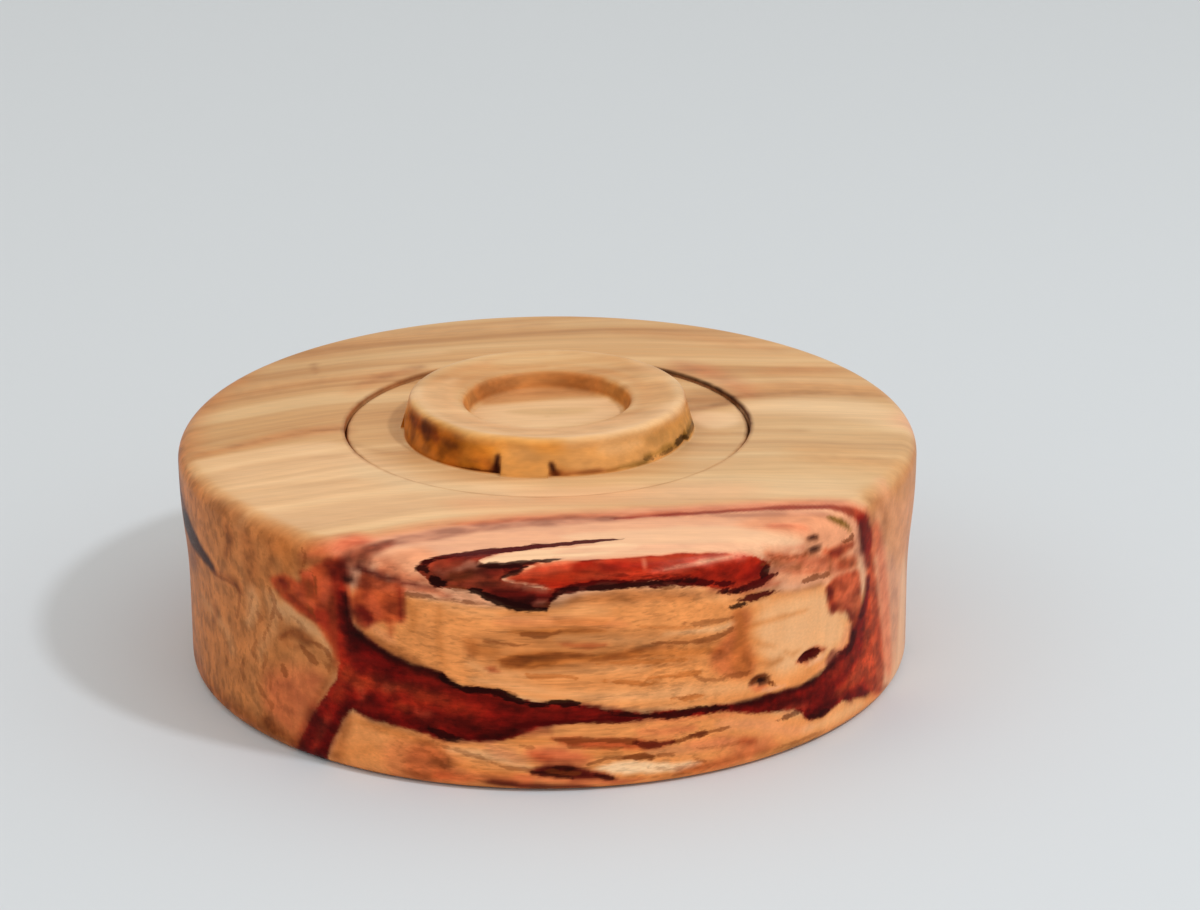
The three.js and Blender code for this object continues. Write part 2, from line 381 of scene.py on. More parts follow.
class Turning:
    """A turned piece: its rows and columns, its mesh object and the coats laid on it."""

    def __init__(self, name, rows, angles, bitten=None, dents=()):
        self.name = name
        self.height = np.array([row[1] for row in rows[1:-1]])
        self.profile = np.array([row[0] for row in rows[1:-1]])
        self.angles = angles
        lengths = np.hypot(*np.diff(np.array(rows), axis=0).T)
        self.along = np.concatenate([[0], np.cumsum(lengths)])[1:-1]
        self.poles = [rows[0][1], rows[-1][1]]
        shape = (len(self.height), len(angles))
        self.radius = np.broadcast_to(self.profile[:, None], shape).copy()
        if bitten is not None:
            cut = bitten(self.profile, self.height)[:, None]
            bite = np.minimum(self.radius, jaw_face(angles)[None, :])
            self.radius = np.where(cut, bite, self.radius)
        self.place()
        self.tree = BVHTree.FromPolygons(*self.surface())
        self.coats = {name: Coat(shape) for name in COATS}
        self.lines = {stain: Coat(shape) for stain in LINE_STAINS}
        self.wobble = WOBBLE * self.grain_noise(WOBBLE_LENGTH, WOBBLE_WIDTH, WOBBLE_SEED)
        mottle = self.grain_noise(MOTTLE_LENGTH, MOTTLE_WIDTH, MOTTLE_SEED)
        finer = (MOTTLE_LENGTH / FINE_TIMES, MOTTLE_WIDTH / FINE_TIMES, FINE_SEED)
        mottle += self.grain_noise(*finer) / 2
        self.mottle = np.clip(MEAN_SHARE + mottle, 0, 1)
        for depth, points in dents:
            self.dent(depth, points)
        self.place()
        self.object = self.build()

    def place(self):
        """Works out every vertex's place from its radius, angle and height."""
        self.x = self.radius * np.sin(self.angles)
        self.y = -self.radius * np.cos(self.angles)
        self.z = np.broadcast_to(self.height[:, None], self.radius.shape)

    def surface(self):
        """Points in metres and faces; the two poles are the last points."""
        rows, columns = self.x.shape
        grid = np.stack([self.x, self.y, self.z], axis=-1).reshape(-1, 3)
        poles = [(0, 0, height) for height in self.poles]
        points = np.concatenate([grid, poles]) * MM
        index = np.arange(rows * columns).reshape(rows, columns)
        beside = np.roll(index, -1, axis=1)
        corners = [index[:-1], beside[:-1], beside[1:], index[1:]]
        quads = np.stack(corners, axis=-1).reshape(-1, 4)
        low, high = rows * columns, rows * columns + 1
        fans = [(low, b, a) for a, b in zip(index[0], beside[0])]
        fans += [(high, a, b) for a, b in zip(index[-1], beside[-1])]
        return points.tolist(), quads.tolist() + fans

    def build(self):
        """The mesh object, smooth shaded."""
        points, faces = self.surface()
        mesh = bpy.data.meshes.new(self.name)
        mesh.from_pydata(points, [], faces)
        mesh.polygons.foreach_set("use_smooth", [True] * len(mesh.polygons))
        mesh.update()
        made = bpy.data.objects.new(self.name, mesh)
        bpy.context.scene.collection.objects.link(made)
        return made

    def grain_noise(self, length, width, seed):
        """Noise from about -1 to 1 at each vertex, drawn out along the grain."""
        places = [self.x / length + seed, self.y / width, self.z / width]
        places = np.stack(places, axis=-1).reshape(-1, 3)
        values = [noise.noise(Vector(place)) for place in places]
        return np.array(values).reshape(self.x.shape)

    def under_pixel(self, pixel):
        """Angle and distance along the outline at a pixel of the photograph.

        A pixel past the piece's edge carries on round it from the nearest pixel inside.
        """
        inside = Vector(pixel)
        step = (Vector(MIDDLE_PIXEL) - inside).normalized()
        hit = self.tree.ray_cast(EYE * MM, ray_through(inside))[0]
        while hit is None:
            inside += step
            hit = self.tree.ray_cast(EYE * MM, ray_through(inside))[0]
        spot = hit / MM
        angle = math.atan2(spot.x, -spot.y)
        radius = math.hypot(spot.x, spot.y)
        gap = np.hypot(self.profile - radius, self.height - spot.z)
        along = self.along[int(gap.argmin())]
        past = (Vector(pixel) - inside) / PIXELS_PER_MM
        return angle + past.x / radius, along - abs(past.y)

    def at_height(self, angle, height):
        """Angle in radians and distance along the outline at a height on the side."""
        side = (self.profile > FOOT_RADIUS - FOOT_EASE) & (self.height <= BODY_HEIGHT)
        along = np.interp(height, self.height[side], self.along[side])
        return math.radians(angle), along

    def all_round(self, rows):
        """The vertices on some of the rows, all the way round."""
        return np.ix_(np.flatnonzero(rows), np.arange(len(self.angles)))

    def near(self, outline):
        """Rows and columns round an outline, and the outline with its middle at 0."""
        middle = (outline[:, 0].min() + outline[:, 0].max()) / 2
        angles = (self.angles - middle + math.pi) % (2 * math.pi) - math.pi
        centred = outline - [middle, 0]
        low, high = centred.min(axis=0), centred.max(axis=0)
        rows = (self.along > low[1] - MARGIN) & (self.along < high[1] + MARGIN)
        widest = math.radians(MARGIN_ANGLE)
        columns = (angles > low[0] - widest) & (angles < high[0] + widest)
        return np.ix_(rows, columns), angles[columns], centred

    def surface_distance(self, outline):
        """Distances to an outline drawn on the surface, and where they lie."""
        area, angles, centred = self.near(outline)
        across = np.broadcast_to(angles, self.radius[area].shape)
        along = np.broadcast_to(self.along[:, None], self.radius.shape)[area]
        return signed_distance(across, along, self.radius[area], centred), area

    def dent(self, depth, points):
        """Sinks a small hollow into the surface."""
        outline = np.array([self.under_pixel(pixel) for pixel in closed_curve(points)])
        distance, area = self.surface_distance(outline)
        self.radius[area] -= depth * soft_step(MEAN_SHARE - distance / DENT_EDGE)

    def lay(self, names, stain, strength, feather, distance, area):
        """Lays a stain on some coats, ragged at its edge and mottled inside."""
        colour, blot_share, tone_share = STAINS[stain]
        mottle = self.mottle[area]
        inside = soft_step(MEAN_SHARE - (distance + self.wobble[area]) / feather)
        share = strength * inside * (1 - blot_share * mottle)
        tone = 1 + tone_share * (2 * mottle - 1)
        tint = np.array(colour) / FULL_COLOUR * tone[..., None]
        for name in names:
            self.coats[name].lay(tint, share, area)

    def draw(self, stain, strength, distance, area):
        """Keeps a crisp dark mark as distances, for the material to draw its edge."""
        line = self.lines[stain]
        ragged = distance + self.wobble[area]
        nearer = ragged < line.edge[area]
        line.edge[area] = np.where(nearer, ragged, line.edge[area])
        line.cover[area] = np.where(nearer, strength, line.cover[area])

    def trim(self, name, stain, outlines):
        """Fills a coat with a stain and trims it to outlines drawn on the photograph."""
        everywhere = self.all_round(self.profile > 0)
        inside = np.full(self.radius.shape, -MARGIN)
        self.lay([name], stain, 1, 1, inside, everywhere)
        for points in outlines:
            outline = np.array([self.under_pixel(pixel) for pixel in closed_curve(points)])
            distance, area = self.surface_distance(outline)
            edge = self.coats[name].edge
            edge[area] = np.minimum(edge[area], distance + self.wobble[area])

    def store(self, name, channels):
        """Keeps four values for each vertex as a colour attribute of the mesh."""
        values = np.stack(channels, axis=-1).reshape(-1, len(channels))
        values = np.concatenate([values, values[:1], values[-1:]])
        layer = self.object.data.attributes.new(name, "FLOAT_COLOR", "POINT")
        layer.data.foreach_set("color", values.astype(np.float32).reshape(-1))

    def store_coats(self):
        """Keeps every coat's colour, with its cover or its edge, and the lines."""
        for name, coat in self.coats.items():
            light = to_linear(coat.colour)
            last = coat.cover if name == GROUND else coat.edge
            self.store(name, [light[..., 0], light[..., 1], light[..., 2], last])
        lines = self.lines.values()
        self.store(LINE_EDGE, [line.edge for line in lines])
        self.store(LINE_STRENGTH, [line.cover for line in lines])


# Coats from the lowest up, and the stains that can be crisp lines over them all
GROUND = "ground_coat"
BAND = "band_coat"
FLAME = "flame_coat"
COATS = (GROUND, BAND, FLAME)
LINE_STAINS = ("amber", "umber", "maroon", "black")
LINE_EDGE = "line_edge"
LINE_STRENGTH = "line_strength"
CRISP_FEATHER = 1.0

# How marks are placed: the middle of the box in the photograph, and how far round an
# outline its mark can reach, in millimetres and degrees
MIDDLE_PIXEL = (548, 560)
PIXELS_PER_MM = 5.9
CURVE_STEPS = 4
MARGIN = 5.0
MARGIN_ANGLE = 6.0
DENT_EDGE = 0.9
LEAST_SHARE = 1e-4
LEAST_SQUARE = 1e-12
MEAN_SHARE = 0.5

# Raggedness of the stains' edges and the mottle inside them, along and across the grain
WOBBLE = 0.2
WOBBLE_LENGTH = 6.0
WOBBLE_WIDTH = 1.5
WOBBLE_SEED = 3.1
MOTTLE_LENGTH = 5.0
MOTTLE_WIDTH = 2.6
MOTTLE_SEED = 21.3
FINE_TIMES = 3  # how much finer the second layer of mottle is
FINE_SEED = 5.9


def soft_step(share):
    """An even rise from 0 to 1 with rounded ends."""
    share = np.clip(share, 0, 1)
    return share * share * (3 - 2 * share)


def closed_curve(points):
    """A closed Catmull-Rom curve round a patch, or round a streak with widths."""
    if len(points[0]) == 3:
        points = streak_outline(points)
    points = np.array(points, float)
    before = np.roll(points, 1, axis=0)
    after = np.roll(points, -1, axis=0)
    later = np.roll(points, -2, axis=0)
    share = (np.arange(CURVE_STEPS) / CURVE_STEPS)[None, :, None]
    a, b, c, d = (p[:, None, :] for p in (before, points, after, later))
    curve = (
        2 * b
        + (c - a) * share
        + (2 * a - 5 * b + 4 * c - d) * share**2
        + (3 * b - a - 3 * c + d) * share**3
    ) / 2
    return curve.reshape(-1, 2)


def streak_outline(points):
    """The closed outline of a streak given as middle points with widths."""
    middle = np.array([point[:2] for point in points], float)
    half = np.array([point[2] for point in points], float)[:, None] / 2
    run = np.gradient(middle, axis=0)
    run /= np.linalg.norm(run, axis=1, keepdims=True)
    side = np.stack([-run[:, 1], run[:, 0]], axis=1)
    return np.concatenate([middle + side * half, (middle - side * half)[::-1]])


def signed_distance(across, along, scale, outline):
    """Distance from each place to a closed outline, negative inside it."""
    nearest = np.full(across.shape, np.inf)
    inside = np.zeros(across.shape, bool)
    for (a0, b0), (a1, b1) in zip(outline, np.roll(outline, -1, axis=0)):
        run_a, run_b = (a1 - a0) * scale, b1 - b0
        off_a, off_b = (across - a0) * scale, along - b0
        square = np.maximum(run_a**2 + run_b**2, LEAST_SQUARE)
        share = np.clip((off_a * run_a + off_b * run_b) / square, 0, 1)
        gap = (off_a - share * run_a) ** 2 + (off_b - share * run_b) ** 2
        nearest = np.minimum(nearest, gap)
        if b0 != b1:
            crossing = (b0 > along) != (b1 > along)
            left = across < a0 + (along - b0) / (b1 - b0) * (a1 - a0)
            inside ^= crossing & left
    distance = np.sqrt(nearest)
    return np.where(inside, -distance, distance)


def mark_seen(piece, names, marks, lowest=-math.inf):
    """Lays marks placed by pixels of the photograph on the surface above a height."""
    for stain, strength, feather, points in marks:
        outline = np.array([piece.under_pixel(pixel) for pixel in closed_curve(points)])
        distance, area = piece.surface_distance(outline)
        distance = np.where(piece.height[area[0]] > lowest, distance, MARGIN)
        if stain in LINE_STAINS and feather <= CRISP_FEATHER:
            piece.draw(stain, strength, distance, area)
        else:
            piece.lay(names, stain, strength, feather, distance, area)


def mark_side(piece, marks):
    """Lays marks placed by degrees from the front and millimetres of height."""
    per_degree = math.radians(BODY_RADIUS)
    for stain, strength, feather, points in marks:
        flat = closed_curve([(point[0] * per_degree, *point[1:]) for point in points])
        outline = np.array([piece.at_height(x / per_degree, z) for x, z in flat])
        distance, area = piece.surface_distance(outline)
        piece.lay([GROUND], stain, strength, feather, distance, area)


def on_plane(pixel, plane):
    """Where a pixel's ray meets a level plane."""
    ray = ray_through(pixel)
    spot = EYE + ray * (plane - CAMERA_HEIGHT) / ray.z
    return spot.x, spot.y


def mark_level(piece, marks, plane, rows):
    """Lays marks that run straight up and down from a level plane on some rows."""
    area = piece.all_round(rows)
    for stain, strength, feather, points in marks:
        outline = np.array([on_plane(pixel, plane) for pixel in closed_curve(points)])
        distance = signed_distance(piece.x[area], piece.y[area], 1, outline)
        piece.lay([GROUND], stain, strength, feather, distance, area)


def ring_area(piece, inner, outer, low, high):
    """The rows of a piece between two radii and two heights, all the way round."""
    rows = (piece.profile > inner) & (piece.profile < outer)
    return piece.all_round(rows & (piece.height > low) & (piece.height < high))


def lay_arcs(piece, arcs, distance, area):
    """Lays arcs of stain and painted shade round a ring, full over each arc's middle half."""
    for stain, strength, middle, half in arcs:
        away = np.abs((np.degrees(piece.angles) - middle + 180) % 360 - 180)
        share = strength * soft_step(2 - 2 * away / half)
        piece.lay([GROUND], stain, share, ARC_FEATHER, distance, area)


def shade_seam(piece, radius):
    """Darkens the wood next to the seam between lid and deck with painted shade."""
    low = LID_TOP - LID_EASE
    area = ring_area(piece, radius - SEAM_REACH, radius + SEAM_REACH, low, KNOB_TOP)
    distance = np.abs(piece.radius[area] - radius) - SEAM_HALF
    lay_arcs(piece, SEAM_SHADE, distance, area)


def stain_and_shade_knob(piece):
    """Darkens the knob's side and its dish's wall, with painted shade at the dish's back
    right.
    """
    margin = FINE_ROW / 2
    inner = KNOB_RADIUS - KNOB_TAPER - margin
    low, high = LID_TOP - margin, KNOB_TOP - KNOB_EDGE
    area = ring_area(piece, inner, KNOB_RADIUS + margin, low, high)
    lay_arcs(piece, KNOB_DIRT, np.full(piece.radius[area].shape, -MARGIN), area)
    inner = DISH_RADIUS - DISH_EDGE - DISH_ROUND
    area = ring_area(piece, inner, DISH_RADIUS + DISH_EDGE, DISH_FLOOR - margin, KNOB_TOP)
    distance = np.abs(piece.z[area] - DISH_FLOOR - DISH_DEPTH / 2) - DISH_BAND_HALF
    lay_arcs(piece, DISH_STAIN_AND_SHADE, distance, area)


ARC_FEATHER = 1.1
SEAM_REACH = 3.0
SEAM_HALF = 0.25
DISH_BAND_HALF = 1.35

# Arcs of stain and of painted shade: the stain and strength, the middle of the arc and half
# its span in degrees, which is over 360 where the arc is full all the way round
# Painted shade in the seam between lid and deck, all round and darkest at the back right
SEAM_SHADE = [
    ("umber", 0.5, 0, 400),
    ("umber", 0.4, -112, 60),
    ("black", 0.95, 126, 60),
]
KNOB_DIRT = [("honey", 0.2, 0, 400)]
# The dish's wall: honey all round, darker at the back, and painted shade at the back right
DISH_STAIN_AND_SHADE = [
    ("honey", 0.4, 0, 400),
    ("syrup", 0.45, 120, 80),
    ("umber", 0.3, -110, 60),
]

# Stains: red, green and blue from 0 to 255, the share lost to the mottle, and how far the
# mottle lightens and darkens the colour
STAINS = {
    "cream": ((250, 208, 162), 0.12, 0.0),
    "gold": ((240, 150, 82), 0.05, 0.04),
    "peach": ((234, 152, 108), 0.15, 0.06),
    "salmon": ((238, 172, 136), 0.2, 0.04),
    "sand": ((216, 192, 152), 0.2, 0.03),
    "straw": ((222, 160, 94), 0.1, 0.06),
    "walnut": ((187, 112, 58), 0.05, 0.08),
    "mauve": ((176, 112, 88), 0.3, 0.1),
    "honey": ((206, 120, 22), 0.1, 0.12),
    "syrup": ((138, 68, 6), 0.1, 0.15),
    "amber": ((196, 106, 42), 0.35, 0.1),
    "umber": ((122, 56, 20), 0.35, 0.15),
    "olive": ((104, 72, 16), 0.25, 0.15),
    # A pink used only for the painted highlight along the tongue
    "pink": ((222, 102, 84), 0.1, 0.05),
    "coral": ((214, 92, 58), 0.3, 0.1),
    "brick": ((124, 44, 26), 0.1, 0.3),
    "rust": ((174, 60, 27), 0.2, 0.2),
    "scarlet": ((176, 36, 14), 0.1, 0.15),
    "crimson": ((116, 18, 9), 0.05, 0.2),
    "maroon": ((76, 4, 3), 0.1, 0.2),
    "black": ((30, 3, 2), 0.0, 0.0),
}

# Each mark is a stain, its strength, the feather of its edge in millimetres, and its
# points in the photograph. A point with a third number is the middle of a streak of that
# width; the others go round a patch. Later marks lie over earlier ones. Seen marks in
# the line stains with a feather of CRISP_FEATHER or less are crisp lines over them all.
GROUND_MARKS = [
    ("walnut", 0.92, 4.5, [
        (150, 452), (190, 482), (206, 500), (236, 521), (280, 534), (326, 545),
        (345, 575), (350, 650), (330, 700), (310, 775), (230, 760), (180, 720),
        (150, 600),
    ]),
    ("amber", 0.55, 4.0, [
        (180, 462, 6), (200, 488, 12), (226, 508, 18), (262, 528, 20), (300, 544, 14),
        (322, 552, 6),
    ]),
    ("salmon", 0.7, 4.0, [
        (880, 480), (900, 500), (940, 500), (940, 720), (880, 712), (874, 640),
        (872, 540),
    ]),
    ("amber", 0.35, 5.0, [
        (866, 494), (888, 482), (914, 462), (930, 500), (912, 560), (892, 560),
        (880, 528),
    ]),
    ("salmon", 0.9, 3.5, [
        (330, 546), (380, 536), (440, 527), (520, 517), (600, 512), (680, 507),
        (780, 502), (856, 503), (868, 530), (862, 592), (780, 600), (700, 600),
        (600, 604), (500, 612), (440, 608), (400, 600), (350, 594),
    ]),
    ("peach", 0.75, 3.0, [
        (385, 556), (400, 550), (425, 548), (436, 556), (416, 566), (420, 576),
        (400, 576), (382, 570),
    ]),
    ("peach", 0.8, 4.0, [
        (770, 514), (810, 512), (846, 516), (858, 532), (858, 572), (830, 586),
        (800, 584), (778, 578), (772, 560), (800, 552), (800, 540), (776, 534),
        (740, 524),
    ]),
    ("peach", 0.35, 2.5, [(640, 517, 4), (720, 515, 8), (800, 516, 8), (840, 522, 6)]),
    ("gold", 0.95, 1.8, [
        (352, 588), (400, 594), (440, 600), (490, 606), (550, 606), (590, 594),
        (650, 588), (720, 588), (780, 592), (828, 586), (838, 612), (850, 622),
        (850, 642), (832, 662), (800, 688), (760, 700), (700, 706), (620, 710),
        (560, 704), (510, 696), (450, 684), (400, 662), (366, 640), (352, 620),
    ]),
    ("gold", 0.92, 2.5, [
        (322, 800), (346, 714), (380, 722), (430, 732), (480, 740), (520, 730),
        (560, 722), (640, 717), (700, 711), (760, 709), (800, 716), (840, 702),
        (890, 690), (900, 740), (800, 790), (720, 810), (620, 820), (500, 820),
        (400, 810),
    ]),
    ("cream", 0.55, 4.0, [
        (766, 606), (800, 594), (828, 592), (846, 622), (842, 642), (826, 656),
        (800, 670), (772, 672), (760, 650), (756, 625),
    ]),
    ("cream", 0.3, 2.5, [(480, 680, 6), (560, 694, 8), (620, 696, 12), (740, 688, 12)]),
    ("cream", 0.3, 2.5, [(560, 604, 6), (620, 598, 8), (690, 594, 10), (760, 600, 8)]),
    ("cream", 0.35, 2.0, [(560, 638, 5), (600, 640, 8), (650, 640, 8), (670, 636, 4)]),
    ("cream", 0.25, 2.0, [(470, 664, 6), (500, 674, 8), (560, 672, 5), (640, 668, 6)]),
    ("cream", 0.6, 1.6, [(668, 634, 2), (700, 631, 5), (722, 628, 5), (734, 623, 3)]),
    ("cream", 0.25, 3.0, [(430, 596, 4), (470, 612, 6), (540, 616, 6), (600, 612, 4)]),
]

CURL_MARKS = [
    # Left wall: the dark streak and the brown round it
    ("umber", 0.45, 3.0, [(172, 452, 6), (178, 490, 10), (186, 540, 16), (194, 566, 8)]),
    ("black", 0.5, 2.2, [(172, 460, 7), (178, 495, 8), (186, 522, 8)]),
    ("black", 0.8, 1.5, [
        (183, 512, 5), (190, 530, 7), (196, 544, 8), (203, 555, 7), (209, 563, 6),
        (215, 572, 2),
    ]),
    ("umber", 0.6, 1.8, [(214, 571, 5), (226, 577, 6), (236, 583, 7), (241, 592, 4)]),
    ("umber", 0.4, 3.0, [(210, 500, 10), (222, 508, 14), (240, 516, 8)]),
    ("umber", 0.45, 2.0, [(226, 524, 6), (230, 540, 9), (226, 556, 5)]),
    ("umber", 0.35, 3.0, [(244, 528, 8), (248, 550, 14), (252, 575, 12), (248, 592, 6)]),
    ("umber", 0.3, 2.0, [(270, 540, 5), (272, 556, 8), (268, 574, 5)]),
    ("amber", 0.5, 3.0, [(280, 545, 16), (290, 560, 16), (288, 574, 8)]),
    ("umber", 0.55, 1.8, [(298, 552, 5), (302, 562, 9), (300, 574, 5)]),
    ("cream", 0.4, 2.5, [(282, 602, 8), (298, 618, 12), (318, 634, 10), (332, 652, 5)]),
    ("cream", 0.3, 2.5, [(250, 588, 8), (254, 604, 12), (250, 624, 8)]),
    ("cream", 0.3, 2.0, [(273, 592, 4), (276, 604, 5), (288, 622, 4)]),
    ("cream", 0.2, 3.0, [(204, 600, 4), (226, 630, 6), (232, 652, 6)]),
    ("cream", 0.2, 3.0, [(266, 592, 6), (276, 620, 14), (264, 644, 10), (260, 660, 4)]),
    ("umber", 0.5, 0.9, [(268, 586, 2), (273, 597, 4), (275, 606, 4), (271, 620, 3)]),
    ("umber", 0.45, 0.9, [(271, 622, 2), (266, 632, 4), (263, 642, 2)]),
    ("umber", 0.45, 0.9, [(274, 606, 2), (279, 614, 4), (283, 621, 2)]),
    ("umber", 0.4, 0.9, [(256, 611, 2), (261, 619, 5), (256, 626, 2)]),
    ("umber", 0.4, 0.9, [(257, 640, 2), (253, 650, 4), (258, 664, 2)]),
    ("umber", 0.4, 0.9, [(264, 654, 2), (266, 661, 4), (262, 668, 2)]),
    ("umber", 0.7, 1.6, [(280, 638, 5), (291, 633, 10), (302, 637, 11), (311, 643, 6)]),
    ("umber", 0.35, 0.9, [(280, 640, 2), (287, 633, 4), (293, 631, 2)]),
    ("umber", 0.4, 1.2, [(284, 644, 3), (292, 645, 5), (300, 648, 3)]),
    ("umber", 0.35, 1.2, [(281, 618, 3), (280, 630, 4)]),
    ("umber", 0.6, 0.9, [(300, 644, 2), (306, 652, 5), (313, 659, 6), (318, 665, 2)]),
    ("umber", 0.6, 0.9, [(311, 641, 2), (319, 645, 4), (326, 650, 5), (331, 660, 2)]),
    ("umber", 0.45, 0.9, [(322, 660, 2), (328, 667, 4), (330, 675, 2)]),
    ("umber", 0.6, 1.0, [(282, 664, 3), (284, 670, 6), (286, 677, 3)]),
    ("umber", 0.5, 0.9, [(214, 574, 2), (226, 580, 3), (236, 586, 3), (241, 594, 2)]),
    ("umber", 0.4, 0.9, [(240, 592, 2), (239, 604, 3), (237, 618, 2)]),
    ("umber", 0.4, 1.2, [(214, 604, 3), (216, 612, 5), (214, 622, 3)]),
    ("umber", 0.35, 0.9, [(244, 658, 2), (242, 670, 4), (245, 682, 2)]),
    ("umber", 0.45, 0.9, [(256, 682, 2), (261, 689, 5), (264, 697, 2)]),
    ("umber", 0.45, 0.9, [(266, 697, 2), (272, 706, 5), (270, 714, 2)]),
    ("umber", 0.5, 1.2, [(262, 717, 4), (272, 727, 7), (285, 734, 5)]),
    ("umber", 0.45, 0.9, [(302, 548, 2), (305, 558, 4), (301, 568, 2)]),
    ("umber", 0.3, 0.9, [(252, 596, 2), (250, 606, 3), (247, 616, 2)]),
    ("umber", 0.3, 0.9, [(292, 616, 2), (298, 622, 3), (306, 630, 2)]),
    ("umber", 0.3, 0.9, [(268, 672, 2), (271, 680, 3), (270, 690, 2)]),
    ("umber", 0.3, 0.9, [(226, 640, 2), (228, 652, 3), (226, 664, 2)]),
    ("coral", 0.5, 5.0, [
        (270, 672), (300, 668), (324, 676), (322, 692), (308, 716), (296, 738),
        (270, 716), (264, 692),
    ]),
    ("umber", 0.65, 3.5, [
        (192, 650, 4), (206, 684, 8), (226, 704, 12), (252, 722, 14), (276, 734, 14),
        (298, 746, 10),
    ]),
    ("umber", 0.55, 1.6, [(266, 714, 4), (270, 724, 9), (276, 734, 5)]),
    ("mauve", 0.3, 4.0, [(186, 580, 8), (192, 640, 10), (204, 686, 6)]),
    # Right wall
    ("cream", 0.35, 3.0, [(905, 560, 5), (904, 610, 9), (900, 660, 8), (888, 690, 4)]),
    ("coral", 0.6, 3.0, [
        (877, 528, 6), (881, 560, 10), (884, 600, 11), (886, 640, 10), (888, 672, 6),
    ]),
    ("rust", 0.95, 2.4, [
        (868, 546, 6), (870, 575, 9), (872, 605, 13), (873, 640, 18), (875, 668, 18),
        (874, 692, 12),
    ]),
    ("umber", 0.3, 3.0, [(868, 500, 5), (880, 506, 10), (886, 520, 10), (884, 540, 5)]),
    ("mauve", 0.4, 2.0, [(892, 560, 5), (894, 600, 8), (894, 640, 5)]),
    ("mauve", 0.35, 2.5, [(908, 540, 4), (908, 600, 6), (906, 650, 4)]),
]

# Edge of the band's coat
BAND_EDGE = [
    (342, 580), (347, 600), (350, 615), (355, 628), (365, 636), (376, 645),
    (388, 654), (402, 660), (416, 666), (432, 669), (442, 673), (450, 680),
    (460, 686), (480, 688), (502, 690), (514, 698), (528, 701), (545, 703),
    (572, 703), (592, 706), (612, 710), (645, 712), (680, 709), (712, 706),
    (745, 702), (770, 694), (795, 688), (812, 680), (824, 670), (832, 657),
    (842, 650), (850, 642), (852, 630), (857, 618), (863, 604), (867, 588),
    (868, 572), (870, 590), (871, 612), (872, 640), (874, 660), (877, 684),
    (871, 692), (862, 697), (850, 700), (838, 703), (830, 710), (820, 718),
    (806, 719), (802, 713), (790, 710), (765, 713), (742, 712), (720, 712),
    (700, 716), (680, 718), (650, 720), (620, 722), (600, 722), (560, 724),
    (532, 731), (515, 738), (500, 741), (480, 741), (450, 740), (436, 738),
    (420, 733), (400, 727), (380, 722), (364, 716), (352, 710), (344, 718),
    (337, 732), (328, 752), (324, 785), (288, 772), (300, 742), (306, 728),
    (313, 714), (321, 700), (329, 690), (337, 676), (339, 660), (338, 645),
    (337, 620), (337, 596),
]

